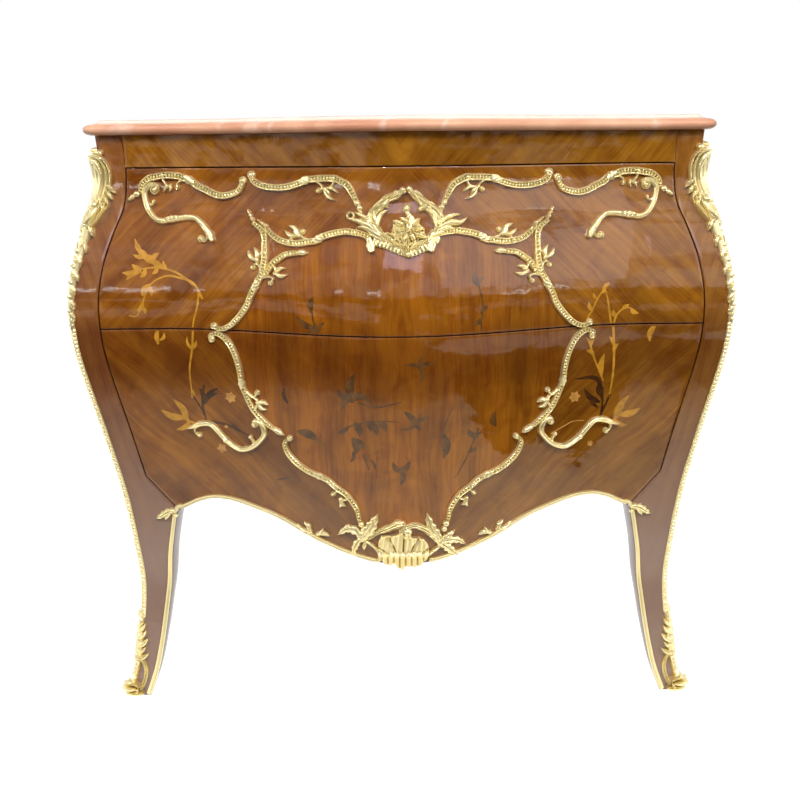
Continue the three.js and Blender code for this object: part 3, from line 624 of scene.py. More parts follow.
def set_inputs(shader, values):
    for key, value in values.items():
        shader.inputs[key].default_value = value


def place_in(tree):
    """Where a point lies on the chest: distance from the middle, depth and height, in metres."""
    across, depth, up = parts_of(tree, spot_in(tree))
    return maths(tree, "ABSOLUTE", across), depth, up


def figured(tree, plane, turn, strips, tones, seed):
    """Colour of veneer whose stripes run at a turn in the given plane."""
    spot = spot_in(tree)
    drift = node(tree, "ShaderNodeTexNoise", {"Vector": plane, "Scale": 7.0, "Detail": 2.0}).outputs["Color"]
    moved = node(tree, "ShaderNodeMix", {"Factor": 0.03, 4: plane, 5: drift}, data_type="VECTOR").outputs[1]

    def bands(wide, long, detail, shift):
        at = node(tree, "ShaderNodeMapping", {
            "Vector": moved, "Location": (seed + shift, 0, 0), "Rotation": (0, 0, turn),
            "Scale": (wide, long, 1),
        }, vector_type="TEXTURE").outputs[0]
        return noise(tree, at, 1.0, detail, roughness=0.6)

    def weighed(value, low, high, weight, before):
        share = ramp(tree, value, low, high, kind="SMOOTHSTEP")
        return maths(tree, "MULTIPLY_ADD", share, weight, before)

    # Patches 110 mm across and sawn strips set the tone
    patches = weighed(noise(tree, spot, 9.0, 3.0, 0.6), 0.42, 0.6, 0.4, 0.0)
    ground = weighed(bands(strips, 1.2, 0.0, 0.0), 0.42, 0.58, 0.45, patches)
    body = blend(tree, ground, tones[0], tones[1])
    # Towards the right the wood turns to a darker, dull yellow brown
    across, _, up = parts_of(tree, spot)
    body = blend(tree, ramp(tree, across, -0.2, 0.4, 0.0, 0.42), body, "#8C6216")
    # Stripes about 13 mm, lines and pores about 2.6 mm wide, and darker clouds 40 mm across
    stripes = weighed(bands(0.013, 0.16, 2.0, 3.1), 0.34, 0.68, 0.36, 0.0)
    lines = weighed(bands(0.0026, 0.04, 2.0, 7.7), 0.32, 0.7, 0.24, stripes)
    depth = weighed(noise(tree, spot, 25.0, 3.0, 0.8), 0.44, 0.62, 0.2, lines)
    wood = blend(tree, depth, body, blend(tree, 1.0, body, tones[2], "MULTIPLY"))
    # Painted shade: a darker band is painted on the wood round the split between the drawers
    rising = ramp(tree, up, 0.48, 0.54, kind="SMOOTHSTEP")
    falling = ramp(tree, up, 0.585, 0.625, 0.42, 0.0, "SMOOTHSTEP")
    return blend(tree, maths(tree, "MULTIPLY", rising, falling), wood, "#4A2006")


def polish(tree, shader):
    """French polish over the wood: a clear film that lies a little unevenly and breaks up reflections."""
    # Little light is turned back where the film meets the wood; the film shines like old built-up polish
    set_inputs(shader, {
        "Roughness": 0.4, "IOR": 1.5, "Specular IOR Level": 0.02,
        "Coat Weight": 1.0, "Coat Roughness": 0.05, "Coat IOR": 1.8,
    })
    spot = spot_in(tree)
    # The film ripples over about 40 mm, and sinks into the grain over about 7 mm
    wide = noise(tree, spot, 22.0, 2.0)
    small = noise(tree, spot, 140.0, 1.0)
    first = node(tree, "ShaderNodeBump", {"Height": small, "Strength": 0.25, "Distance": 0.0002}).outputs[0]
    bump = node(tree, "ShaderNodeBump", {
        "Height": wide, "Strength": 0.3, "Distance": 0.002, "Normal": first,
    }).outputs[0]
    tree.links.new(bump, shader.inputs["Coat Normal"])


# Two grounds and a shade for the wood of the ends, the middle of the fronts, the frieze and the posts
AMBER = ("#965E18", "#6E3D0D", "#A47456")
PANEL_TONES = ("#A36112", "#75410A", "#A07054")
FRIEZE_TONES = ("#94621A", "#724610", "#A87C58")
EDGE_TONES = ("#8A5A2C", "#714222", "#B48868")

# Half the width of the middle panel of veneer, by height, millimetres
MIDDLE_PANEL = [
    (300, 0), (316, 62), (343, 70), (363, 92), (386, 137), (405, 162), (436, 168), (453, 195), (477, 220),
    (518, 234), (558, 244), (585, 258), (600, 262), (610, 250), (641, 225), (669, 209), (688, 201),
    (710, 198), (722, 190), (728, 150), (735, 110), (742, 60), (752, 0),
]


def veneer_fronts():
    """Tulipwood laid at a slant on the outer zones and upright in the middle; a warm striped shine."""
    made, tree, shader = new_material("polished_tulipwood_fronts")
    out, _, up = place_in(tree)
    from_split = maths(tree, "ABSOLUTE", maths(tree, "SUBTRACT", up, SPLIT_HEIGHT * MM))
    outer_plane = node(tree, "ShaderNodeCombineXYZ", {0: out, 1: from_split}).outputs[0]
    outer = figured(tree, outer_plane, math.radians(46), 0.05, AMBER, 0.0)
    upright_plane = node(tree, "ShaderNodeCombineXYZ", {0: out, 1: up}).outputs[0]
    middle = figured(tree, upright_plane, 0.0, 0.034, PANEL_TONES, 4.0)
    low, high = MIDDLE_PANEL[0][0] * MM, MIDDLE_PANEL[-1][0] * MM
    widest = 0.3
    curve = node(tree, "ShaderNodeFloatCurve", {"Value": ramp(tree, up, low, high)})
    points = curve.mapping.curves[0].points
    for height, half in MIDDLE_PANEL[1:-1]:
        points.new((height * MM - low) / (high - low), half * MM / widest)
    points[0].location = (0, 0)
    points[-1].location = (1, 0)
    curve.mapping.update()
    inside = maths(tree, "LESS_THAN", out, maths(tree, "MULTIPLY", curve.outputs[0], widest))
    tree.links.new(blend(tree, inside, outer, middle), shader.inputs["Base Color"])
    polish(tree, shader)
    return made


def veneer_plane(name, axes, turn, strips, tones, seed, floor_haze=0.0):
    """Slanting tulipwood beside the drawers, matched left to right, with a painted reflection of the floor, a
    mauve-grey haze, towards the feet.
    """
    made, tree, shader = new_material(name)
    out, depth, up = place_in(tree)
    sides = {"out": out, "depth": depth, "up": up}
    plane = node(tree, "ShaderNodeCombineXYZ", {0: sides[axes[0]], 1: sides[axes[1]]}).outputs[0]
    wood = figured(tree, plane, math.radians(turn), strips, tones, seed)
    # Painted reflection: the wood is blended to mauve grey towards the feet, as if the pale floor showed in
    # the polish
    painted_light_measure = ramp(tree, up, 0.56, 0.2, 0.0, floor_haze, "SMOOTHSTEP")
    tree.links.new(blend(tree, painted_light_measure, wood, "#866C62"), shader.inputs["Base Color"])
    polish(tree, shader)
    return made


def inlay_wood(name, light, dark):
    """Fine even wood set flush in the veneer: a flat tone with faint streaks under the same polish."""
    made, tree, shader = new_material(name)
    # Streaks about 12 mm apart
    streaks = noise(tree, spot_in(tree), 80.0, 3.0)
    tree.links.new(blend(tree, ramp(tree, streaks, 0.35, 0.65), light, dark), shader.inputs["Base Color"])
    polish(tree, shader)
    return made


def plain_oak(name, light, dark, stretch):
    """Planed oak without polish, for the boards inside: dry, pale brown, with long pores."""
    made, tree, shader = new_material(name)
    at = node(tree, "ShaderNodeMapping", {"Vector": spot_in(tree), "Scale": stretch},
              vector_type="TEXTURE").outputs[0]
    rings = noise(tree, at, 1.0, 4.0, 0.4)
    pores = noise(tree, at, 6.0, 2.0)
    both = node(tree, "ShaderNodeMix", {"Factor": 0.4, 2: rings, 3: pores}).outputs[0]
    tree.links.new(blend(tree, ramp(tree, both, 0.35, 0.65), dark, light), shader.inputs["Base Color"])
    set_inputs(shader, {"Roughness": 0.68})
    bump = node(tree, "ShaderNodeBump", {"Height": pores, "Strength": 0.3, "Distance": 0.0004}).outputs[0]
    tree.links.new(bump, shader.inputs["Normal"])
    return made


def gilt_brass():
    """Cast, chased and fire-gilt brass: pale yellow on the high places, with painted shade, dark brown, in
    the hollows.
    """
    made, tree, shader = new_material("fire_gilt_brass")
    painted_light_measure = node(tree, "ShaderNodeNewGeometry").outputs["Pointiness"]
    high = ramp(tree, painted_light_measure, 0.4, 0.485)
    spot = spot_in(tree)
    # Patches of tone about 15 mm across
    light = blend(tree, noise(tree, spot, 65.0, 3.0), "#F8E4A0", "#FCF2C4")
    # Painted shade: where pointiness is low, in the hollows, the colour is painted dark brown
    tree.links.new(blend(tree, high, "#7E6426", light), shader.inputs["Base Color"])
    # The burnished metal keeps some of the matt bloom of the gilding
    set_inputs(shader, {"Metallic": 0.88})
    tree.links.new(ramp(tree, high, 0.0, 1.0, 0.55, 0.3), shader.inputs["Roughness"])
    # Fine hammered grain, about 2 mm
    grain = noise(tree, spot, 450.0, 2.0)
    bump = node(tree, "ShaderNodeBump", {"Height": grain, "Strength": 0.1, "Distance": 0.0003}).outputs[0]
    tree.links.new(bump, shader.inputs["Normal"])
    return made


def polished_marble():
    """Salmon-pink limestone marble: clouded, with pale veins and a soft polish."""
    made, tree, shader = new_material("salmon_marble")
    spot = spot_in(tree)
    clouds = ramp(tree, noise(tree, spot, 9.0, 6.0, 0.8), 0.35, 0.65)
    body = blend(tree, clouds, "#B47C60", "#CC9C7E")
    veins = noise(tree, spot, 5.0, 7.0, 0.9)
    off_vein = maths(tree, "ABSOLUTE", maths(tree, "SUBTRACT", veins, 0.5))
    veined_body = blend(tree, ramp(tree, off_vein, 0.0, 0.03, 0.3, 0.0), body, "#E4CEC0")
    # Painted highlight: the hollow above the thumb moulding is painted paler, as if it caught the light from
    # above
    up = parts_of(tree, spot)[2]
    over_moulding = ramp(tree, up, 0.8935, 0.8965, 0.0, 0.55)
    under_top = ramp(tree, up, 0.8994, 0.8998, 1.0, 0.0)
    hollow = maths(tree, "MULTIPLY", over_moulding, under_top)
    tree.links.new(blend(tree, hollow, veined_body, "#F4E6DC"), shader.inputs["Base Color"])
    set_inputs(shader, {"Roughness": 0.3, "Specular IOR Level": 0.3})
    return made


FRONTS = veneer_fronts()
FRIEZE = veneer_plane("polished_tulipwood_frieze", ("out", "up"), -42, 0.05, FRIEZE_TONES, 2.0)
POSTS = veneer_plane("polished_tulipwood_posts", ("out", "up"), -14, 0.03, EDGE_TONES, 6.0, 0.75)
SIDES = veneer_plane("polished_tulipwood_sides", ("depth", "up"), 40, 0.05, AMBER, 9.0)
OAK_BOXES = plain_oak("planed_oak_drawers", "#C49A62", "#8E6534", (0.01, 0.25, 0.01))
OAK_BACKS = plain_oak("planed_oak_drawer_backs", "#C49A62", "#8E6534", (0.25, 0.01, 0.01))
OAK_BOARDS = plain_oak("planed_oak_boards", "#A67C4A", "#75512A", (0.25, 0.012, 0.012))
GOLD_INLAY = inlay_wood("stained_holly_inlay", "#BE8628", "#9C6E20")
TAN_INLAY = inlay_wood("boxwood_inlay", "#C8944A", "#AC7838")
DARK_INLAY = inlay_wood("stained_pearwood_inlay", "#4C2C10", "#382010")
GREEN_INLAY = inlay_wood("green_stained_sycamore_inlay", "#664420", "#4A3018")
GILT = gilt_brass()
MARBLE = polished_marble()


# Wood
def front_post_ring(side, z):
    """Section of a front post at one height: a rounded inner edge, the front, the arris and the side."""
    front = -float(corner_depth(z))
    inner, outer = float(stile_inner(z)), float(half_width(z))
    depth = STILE_DEPTH * (float(smooth_at(LEG_DEPTH, z / LEG_TOP)) if z < LEG_TOP else 1.0)
    edge = float(front_y(inner, z))
    ring = [(inner, edge + EDGE_ROUND), (inner + EDGE_ROUND * EDGE_MIDDLE, edge + EDGE_ROUND * EDGE_MIDDLE)]
    for x in np.linspace(inner + EDGE_ROUND, outer - ARRIS, 10):
        ring.append((x, float(front_y(x, z))))
    for turn in np.linspace(0, np.pi / 2, 5)[1:-1]:
        ring.append((outer - ARRIS + ARRIS * math.sin(turn), front + ARRIS - ARRIS * math.cos(turn)))
    for y in np.linspace(front + ARRIS, front + depth, 12):
        ring.append((float(side_x(y, z)), y))
    ring.append((inner + POST_BEVEL, front + depth))
    ring.append((inner, front + depth - POST_BEVEL))
    return [(side * x, y, z) for x, y in ring]


def back_post_ring(side, z):
    share = 1.0 if z >= LEG_TOP else float(smooth_at(LEG_WIDTH, z / LEG_TOP))
    deep = 1.0 if z >= LEG_TOP else float(smooth_at(LEG_DEPTH, z / LEG_TOP))
    front = -BACK_STILE_DEPTH * (1 - BACK_LEG_SLIM + BACK_LEG_SLIM * deep)
    inner = float(side_x(0, z)) - BACK_STILE_WIDTH * (1 - BACK_LEG_SLIM + BACK_LEG_SLIM * share)
    ring = [(inner, -1), (inner, front + 1), (inner + 1, front)]
    ring += [(float(side_x(y, z)), y) for y in np.linspace(front, -1, 8)]
    ring += [(float(side_x(0, z)) - 1, 0), (inner + 1, 0)]
    return [(side * x, y, z) for x, y in ring]


def post_levels():
    spacing = 3.5
    return np.concatenate([[0, 0.4, 1.2], np.arange(4, 876, spacing), [CASE_HEIGHT - 1, CASE_HEIGHT]])


def side_panel(side):
    columns, rows = 60, 150
    along = steps(0, 1, columns)
    grid = np.zeros((rows + 1, columns + 1, 3))
    for i, up in enumerate(steps(0, 1, rows)):
        low = LEG_TOP + (APRON_PEAK - LEG_TOP) * smooth_at(SIDE_APRON, along)
        z = low + (CASE_HEIGHT - low) * up
        front = -corner_depth(z) + STILE_DEPTH + CLEARANCE
        y = front + (-BACK_STILE_DEPTH - CLEARANCE - front) * along
        grid[i] = np.stack([side * side_x(y, z), y, z], -1)
    inner = grid.copy()
    inner[..., 0] -= side * PANEL_THICKNESS
    return slab(grid, inner)


def marble_ring(inset, z):
    """The slab's outline at one height, set in from its widest line."""
    offset = MARBLE_OVERHANG - inset
    depth = float(corner_depth(CASE_HEIGHT))
    front = -depth - offset
    flat_end = float(half_width(CASE_HEIGHT)) + offset - MARBLE_CORNER
    ring = [(x, front - float(bow(x))) for x in steps(-flat_end, flat_end, 150)]
    right = []
    for turn in steps(0, np.pi / 2, 12)[1:]:
        x = flat_end + MARBLE_CORNER * math.sin(turn)
        right.append((x, front + MARBLE_CORNER * (1 - math.cos(turn))))
    for y in steps(front + MARBLE_CORNER, 0, 40)[1:]:
        right.append((float(side_x(max(y, -depth), CASE_HEIGHT)) + offset, y))
    left = [(-x, y) for x, y in reversed(right)]
    return [(x, y, z) for x, y in ring + right + left]


def marble_rings():
    """The slab's edge from below: a thumb moulding, a small flat, and a hollow up to the top."""
    low = CASE_HEIGHT + CLEARANCE
    profile = []
    for a in np.linspace(-1.45, math.pi / 2, 18):
        profile.append((11 - 11 * math.cos(a), low + 8 + 8 * math.sin(a)))
    profile += [(12.6, low + 16), (12.8, low + 16.7)]
    rim = 0.5
    hollow = MARBLE_TOP - (low + 16.7) - rim
    for a in np.linspace(0, math.pi / 2, 9):
        profile.append((13.4 + hollow * 1.25 * math.sin(a), MARBLE_TOP - rim - hollow * math.cos(a)))
    profile += [(20.4, MARBLE_TOP)]
    return [marble_ring(inset, z) for inset, z in profile]


def level(z):
    """A straight lower edge at one height."""
    return lambda share: np.full(np.shape(share), z)


def build_wood():
    for name, side in (("left", -1), ("right", 1)):
        points, faces = loft([front_post_ring(side, z) for z in post_levels()])
        piece("corner_post_" + name, points, faces, "carcass", POSTS, ["stile_front_" + name])
        points, faces = loft([back_post_ring(side, z) for z in post_levels()])
        piece("back_post_" + name, points, faces, "carcass", POSTS, ["stile_back_" + name])
        points, faces = side_panel(side)
        piece("end_panel_" + name, points, faces, "carcass", SIDES, ["side_panel_" + name])
    points, faces = curved_front(level(FRIEZE_BOTTOM), CASE_HEIGHT, CLEARANCE, rows=20)
    piece("frieze_rail", points, faces, "carcass", FRIEZE, ["top_rail_front"])
    low, high = SPLIT_HEIGHT + DRAWER_GAP / 2, FRIEZE_BOTTOM - DRAWER_GAP
    points, faces = curved_front(level(low), high, DRAWER_GAP, ease=DRAWER_EDGE_ROUND)
    piece("upper_drawer_front", points, faces, "upper_drawer", FRONTS, ["upper_front"])
    high = SPLIT_HEIGHT - DRAWER_GAP / 2
    points, faces = curved_front(apron_height, high, DRAWER_GAP, ease=DRAWER_EDGE_ROUND)
    piece("lower_drawer_front", points, faces, "lower_drawer", FRONTS, ["lower_front"])
    points, faces = loft(marble_rings())
    piece("marble_slab", points, faces, "carcass", MARBLE, ["marble_top"])


KEPT_BOARDS = (
    (("upper_back", "lower_back"), OAK_BACKS),
    (("upper_side", "upper_bottom", "lower_side", "lower_bottom"), OAK_BOXES),
    (("top_rail_back", "back_panel", "top_board", "dust_board", "bottom_board", "drawer_guide"), OAK_BOARDS),
)


def colour_kept_boards():
    """Gives the CAD boards that stay in sight inside the chest their oak."""
    for name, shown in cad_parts.items():
        for starts, oak in KEPT_BOARDS:
            if name.startswith(starts):
                shown.data.materials.clear()
                shown.data.materials.append(oak)


build_wood()
colour_kept_boards()


# Marquetry: flowers and leaves of other woods, set flush in the drawer fronts
def vine(points, width):
    return ribbon(points, scaled([(0, 1), (0.6, 0.85), (1, 0.45)], width), 0, flat)


def blade(root, tip, width, bend=0.12):
    """A pointed leaf from root to tip, bent a little to one side."""
    across, up = tip[0] - root[0], tip[1] - root[1]
    middle = ((root[0] + tip[0]) / 2 - up * bend, (root[1] + tip[1]) / 2 + across * bend)
    return leaf([root, middle, tip], width, 0, flat)


def flower(at, radius, petals, turn=0.0):
    """A round inlaid flower head with pointed petals."""
    made = [bead(at, 0.45 * radius, 0)]
    for k in range(petals):
        angle = turn + 2 * math.pi * k / petals
        tip = (at[0] + radius * math.cos(angle), at[1] + radius * math.sin(angle))
        made.append(leaf([at, ((at[0] + tip[0]) / 2, (at[1] + tip[1]) / 2), tip], 0.75 * radius, 0, flat))
    return made


def golden_upper():
    return [
        vine([(-292, 643), (-298, 655), (-307, 666), (-325, 672), (-343, 675), (-361, 669), (-370, 661),
              (-376, 651)], 3.4),
        vine([(-374, 655), (-380, 640), (-385, 625), (-393, 616), (-402, 617)], 2.6),
        blade((-372, 660), (-368, 646), 6), blade((-371, 662), (-382, 646), 8, -0.15),
        blade((-381, 636), (-390, 624), 6), blade((-383, 630), (-378, 620), 5),
        vine([(-306, 663), (-325, 677), (-346, 685), (-366, 687), (-388, 684)], 3.4),
        blade((-384, 684), (-410, 680), 9), blade((-384, 682), (-404, 670), 8, -0.1),
        blade((-383, 686), (-396, 692), 7), blade((-376, 684), (-384, 673), 7),
        blade((-358, 687), (-366, 678), 6),
        ribbon([(-352, 687), (-366, 697), (-377, 704), (-386, 714), (-392, 729)], scaled(LOBED_WIDTH, 12), 0,
               flat),
        blade((-366, 697), (-356, 708), 7), blade((-376, 703), (-394, 706), 6),
        blade((-345, 686), (-350, 697), 5), vine([(-297, 653), (-300, 631), (-306, 611), (-310, 590)], 3),
        vine([(274, 590), (273, 609), (279, 619), (286, 634), (294, 646), (305, 657)], 3),
        blade((279, 619), (274, 632), 6), blade((286, 636), (281, 645), 5),
        vine([(310, 590), (306, 616), (303, 634), (299, 650)], 3.4), blade((296, 645), (305, 660), 6),
        vine([(312, 590), (314, 603), (319, 614), (329, 621), (338, 621), (347, 615)], 3),
        blade((316, 608), (312, 620), 6), blade((338, 621), (350, 613), 6, -0.2),
        blade((325, 619), (336, 626), 5),
    ]


def golden_lower():
    return [
        vine([(-308, 598), (-311, 568), (-317, 534), (-316, 496)], 3.2), blade((-312, 566), (-318, 586), 4.4),
        blade((-311, 566), (-304, 580), 4.4, -0.12), blade((-316, 503), (-317, 490), 6),
        blade((-362, 575), (-360, 598), 7, 0.1), blade((-358, 580), (-352, 591), 5, -0.2),
        vine([(-310, 448), (-322, 452), (-334, 459)], 4), blade((-326, 454), (-345, 487), 10, -0.1),
        blade((-330, 458), (-365, 470), 11), blade((-322, 452), (-345, 438), 8),
        blade((-334, 460), (-352, 458), 7), vine([(312, 598), (315, 558), (315, 518), (311, 484)], 4),
        vine([(277, 598), (277, 575), (283, 552), (301, 511)], 3.2), blade((279, 566), (287, 582), 5),
        blade((279, 564), (271, 580), 4.4, -0.1), blade((284, 552), (272, 560), 6, -0.15),
        blade((297, 520), (300, 553), 9, 0.08), blade((314, 566), (307, 579), 6, -0.1),
        blade((314, 556), (321, 568), 6), blade((368, 572), (371, 594), 7, 0.1),
        blade((371, 582), (376, 594), 5), vine([(303, 444), (320, 448), (331, 456)], 4),
        blade((322, 449), (342, 486), 10, 0.1), blade((328, 456), (360, 465), 11, -0.1),
        blade((320, 447), (341, 438), 8, -0.1), blade((325, 452), (336, 470), 7),
    ]


def tan_lower():
    return [
        *flower((-256, 494), 9, 6, 0.3), *flower((-275, 411), 8, 5, 0.8), *flower((257, 489), 9, 6, 0.1),
        vine([(222, 434), (240, 443), (256, 450), (274, 450)], 2), *flower((-266, 447), 3.4, 5),
        *flower((285, 412), 5, 5),
    ]


def dark_lower():
    return [
        blade((-297, 482), (-276, 507), 8), blade((-298, 482), (-304, 506), 8, -0.1),
        blade((-294, 488), (-276, 499), 7), vine([(-297, 510), (-301, 482), (-297, 455)], 4),
        vine([(-316, 496), (-306, 478), (-297, 457)], 2.4),
        vine([(-288, 454), (-260, 448), (-236, 437), (-223, 432)], 4), blade((-244, 441), (-256, 452), 6),
        blade((-168, 492), (-172, 516), 6), blade((296, 478), (272, 500), 9),
        blade((300, 482), (256, 517), 7, -0.35), blade((298, 488), (294, 508), 8),
        vine([(312, 488), (304, 468), (297, 448)], 3.2), vine([(300, 500), (301, 474), (297, 447)], 3.4),
        blade((293, 470), (282, 487), 6),
    ]


def green_middle_upper():
    return [
        blade((-128, 631), (-125, 651), 9), vine([(-127, 633), (-125, 616), (-118, 602), (-114, 592)], 2.6),
        blade((-121, 606), (-150, 623), 9), blade((-122, 604), (-139, 599), 7),
        blade((-119, 602), (-109, 616), 6), blade((105, 667), (104, 684), 9),
        blade((106, 668), (116, 676), 8), vine([(108, 668), (114, 640), (112, 614), (112, 592)], 2.4),
        blade((112, 628), (122, 636), 7), blade((112, 620), (102, 610), 7),
    ]


def green_middle_lower():
    return [
        vine([(-114, 598), (-116, 590), (-112, 580)], 2.2), blade((-72, 502), (-68, 543), 13),
        blade((-72, 504), (-94, 518), 10), blade((-73, 504), (-50, 511), 11),
        blade((-74, 508), (-88, 488), 9, -0.1), blade((-60, 508), (-44, 500), 7),
        vine([(-62, 500), (-40, 494), (-18, 498), (-2, 502)], 3),
        vine([(-93, 453), (-80, 462), (-66, 467), (-40, 473), (-6, 472)], 2.4),
        blade((-79, 462), (-94, 452), 6), blade((-68, 468), (-62, 449), 11),
        blade((-46, 472), (-38, 451), 10), blade((-34, 472), (-24, 458), 10),
        blade((-52, 472), (-46, 457), 8), blade((-72, 444), (-68, 422), 12), blade((-66, 444), (-58, 428), 9),
        blade((-72, 424), (-76, 408), 6), blade((-152, 449), (-124, 438), 14, 0.1),
        vine([(-126, 440), (-114, 430), (-110, 418)], 2.4), vine([(-190, 368), (-170, 373), (-154, 368)], 3),
        vine([(-57, 420), (-50, 398)], 3.6), blade((-47, 412), (-40, 398), 5), blade((24, 551), (45, 558), 7),
        blade((25, 552), (29, 570), 6), blade((27, 552), (3, 557), 6, -0.1), blade((25, 553), (26, 532), 6),
        blade((18, 466), (2, 488), 9, -0.1), blade((17, 467), (38, 478), 8), blade((18, 467), (-2, 461), 6),
        blade((16, 468), (26, 458), 7), blade((58, 450), (59, 414), 13),
        vine([(58, 452), (64, 474), (72, 492)], 2.2),
        vine([(109, 456), (103, 438), (92, 411), (76, 382)], 2.6), blade((104, 444), (94, 456), 8),
        blade((103, 440), (114, 450), 8), blade((96, 420), (108, 424), 7), blade((135, 457), (135, 480), 8),
        blade((133, 459), (127, 470), 5), blade((-3, 394), (-15, 410), 8),
        blade((-3, 395), (10, 412), 8, -0.1), blade((-3, 400), (-4, 374), 8),
    ]


INLAYS = [
    ("gold_flowers_upper", golden_upper, "upper_drawer", GOLD_INLAY),
    ("gold_flowers_lower", golden_lower, "lower_drawer", GOLD_INLAY),
    ("boxwood_flowers", tan_lower, "lower_drawer", TAN_INLAY),
    ("dark_stems", dark_lower, "lower_drawer", DARK_INLAY),
    ("green_flowers_upper", green_middle_upper, "upper_drawer", GREEN_INLAY),
    ("green_flowers_lower", green_middle_lower, "lower_drawer", GREEN_INLAY),
]


def build_inlays():
    """Each wood's inlays on each drawer, proud of the veneer by a hair so that they show."""
    clear = 2.6
    sides = {
        "upper_drawer": lambda u, w: w - SPLIT_HEIGHT - clear,
        "lower_drawer": lambda u, w: SPLIT_HEIGHT - clear - w,
    }
    for name, strokes, body, material in INLAYS:
        relief("inlay_" + name, strokes(), on_front(1), body, material, cell=0.8, edge=0.08,
               limit=sides[body])


build_inlays()


# Castings
def stem(points, width):
    """A scroll's arm: two rims with a row of ribs between them."""
    return ribbon(points, scaled([(0, 0.72), (0.12, 1), (0.85, 1), (1, 0.7)], width), 4.4, notched)


def smooth_stem(points, width=9.0, rise=7.0):
    """A round arm that swells before its pointed end."""
    widths = [(0, 0.8), (0.15, 1), (0.78, 1), (0.88, 1.15), (0.94, 0.8), (1, 0.1)]
    return ribbon(points, scaled(widths, width), rise, rounded)


def wrap(start, end, width, rise=5.6, length=9.0):
    """A short leaf wrapped round a stem, midway between two places on it."""
    start, end = np.asarray(start, float), np.asarray(end, float)
    middle, way = (start + end) / 2, (end - start) / np.hypot(*(end - start))
    widths = scaled([(0, 0.75), (0.5, 1), (1, 0.75)], width)
    return ribbon([middle - way * length / 2, middle + way * length / 2], widths, rise, wrapped)


def collar(at, radius, rise=6.0):
    return bead(at, radius, rise)


def eye(at, radius, rise=5.2):
    """The ball at the heart of a volute."""
    return bead(at, radius, rise, 0.35)


def tendril(points, width=3.8, ball=3.4, rise=4.0):
    """A thin curl that ends in a ring round a small ball."""
    curl = ribbon(points, scaled([(0, 0.8), (0.2, 1), (1, 0.8)], width), rise, rounded)
    return [curl, bead(points[-1], 1.3 * ball, rise * 1.1, 0.55)]


def sprig(base, tips, width=5.4, rise=4.8):
    """Smooth pointed leaves that share a knot, each a little bent."""
    made = [bead(base, 0.5 * width, rise)]
    for k, tip in enumerate(tips):
        across, up = tip[0] - base[0], tip[1] - base[1]
        bend = 0.16 if k % 2 else -0.16
        middle = ((base[0] + tip[0]) / 2 - up * bend, (base[1] + tip[1]) / 2 + across * bend)
        made.append(leaf([base, middle, tip], width, rise + 0.4 * k, rounded))
    return made


def tail(beads, radius=5.0):
    """Husks on a thinning stem that shrink towards the tip of a scroll, the last one long."""
    rise = 5.6
    made = [bead(at, radius * (1 - 0.17 * k), rise * (1 - 0.1 * k)) for k, at in enumerate(beads)]
    first, last = np.asarray(beads[0], float), np.asarray(beads[-1], float)
    way = (last - first) / np.hypot(*(last - first))
    made.append(ribbon([first, (first + last) / 2, last], 0.9 * radius, 0.75 * rise, rounded))
    made.append(leaf([last - 3 * way, last + way, last + 5 * way], 1.1 * radius, 0.9 * rise, rounded))
    return made


def leafy(points, width, rise, count):
    """A ridged arm with slender leaves that lie along it, leaning to both sides in turn."""
    line = curve_through(points)
    last = len(line) - 1
    widths = [(0, 0.7), (0.3, 0.95), (0.8, 0.95), (1, 0.6)]
    made = [ribbon(points, scaled(widths, width), 0.86 * rise, ridged)]
    for k in range(count):
        root = line[int(k / count * last)]
        ahead = line[min(int((k + 1.6) / count * last), last)]
        way = (ahead - root) / np.hypot(*(ahead - root))
        aside = np.array([-way[1], way[0]]) * (1 if k % 2 else -1)
        tip = ahead + 0.52 * width * aside
        made.append(leaf([root, (root + tip) / 2 + 0.1 * width * aside, tip], 0.46 * width, rise, rounded))
    return made


def outer_scroll():
    line = [
        (383, 797), (380, 808), (370, 816), (360, 818), (350, 820), (339, 820), (327, 819), (315, 815),
        (307, 812), (296, 804), (285, 799), (273, 793), (259, 790), (246, 792), (234, 797), (228, 806),
        (227, 811),
    ]
    return [
        stem(line, 10.2), wrap((316, 817), (304, 809), 14), collar((350, 820), 3.6), collar((345, 821), 2.6),
        eye((227, 812), 6), *tail([(389, 793), (395, 789), (399, 786)]),
        ribbon([(351, 819), (349, 812), (344, 805)], 4, 3.6, rounded),
        *sprig((338, 806), [(353, 803), (349, 794), (341, 795)], 5),
        *tendril([(311, 812), (320, 812), (327, 809), (328, 803)]),
    ]


def upper_pull():
    line = [
        (358, 802), (358, 805), (366, 807), (372, 804), (377, 796), (376, 784), (373, 773), (368, 764),
        (361, 756), (352, 753), (343, 754), (329, 756), (314, 758), (301, 757), (291, 750), (284, 742),
        (278, 733), (273, 724),
    ]
    return [
        smooth_stem(line), eye((362, 799), 7.4, 8.4), wrap((345, 754), (326, 757), 11, 8.6, 18),
        wrap((282, 740), (275, 728), 11.5, 7.6, 16),
        *tendril([(288, 746), (281, 737), (282, 729), (288, 724), (292, 728)], 4.4, 4.2, 4.6),
        ribbon([(373, 780), (367, 777), (363, 781)], 4.4, 5, rounded), bead((364, 782), 3.2, 5),
    ]


def inner_scroll():
    line = [
        (214, 817), (210, 811), (201, 806), (188, 803), (174, 802), (161, 803), (149, 806), (138, 810),
        (133, 813), (123, 814), (112, 815), (102, 815), (92, 815), (83, 811), (74, 806), (68, 797), (64, 789),
        (61, 783),
    ]
    return [
        stem(line, 9.8), eye((214, 820), 6), wrap((142, 809), (126, 815), 13), collar((93, 815), 3.4),
        bead((60, 780), 4.6, 6.4), bead((56.5, 773.5), 4.4, 6.2), bead((55.5, 768), 3, 5),
        ribbon([(92, 813), (94, 806), (99, 802)], 4, 3.6, rounded),
        *sprig((107, 801), [(86, 794), (90, 784), (98, 789)]),
        *tendril([(131, 812), (119, 811), (112, 807), (109, 802), (114, 798)]),
    ]


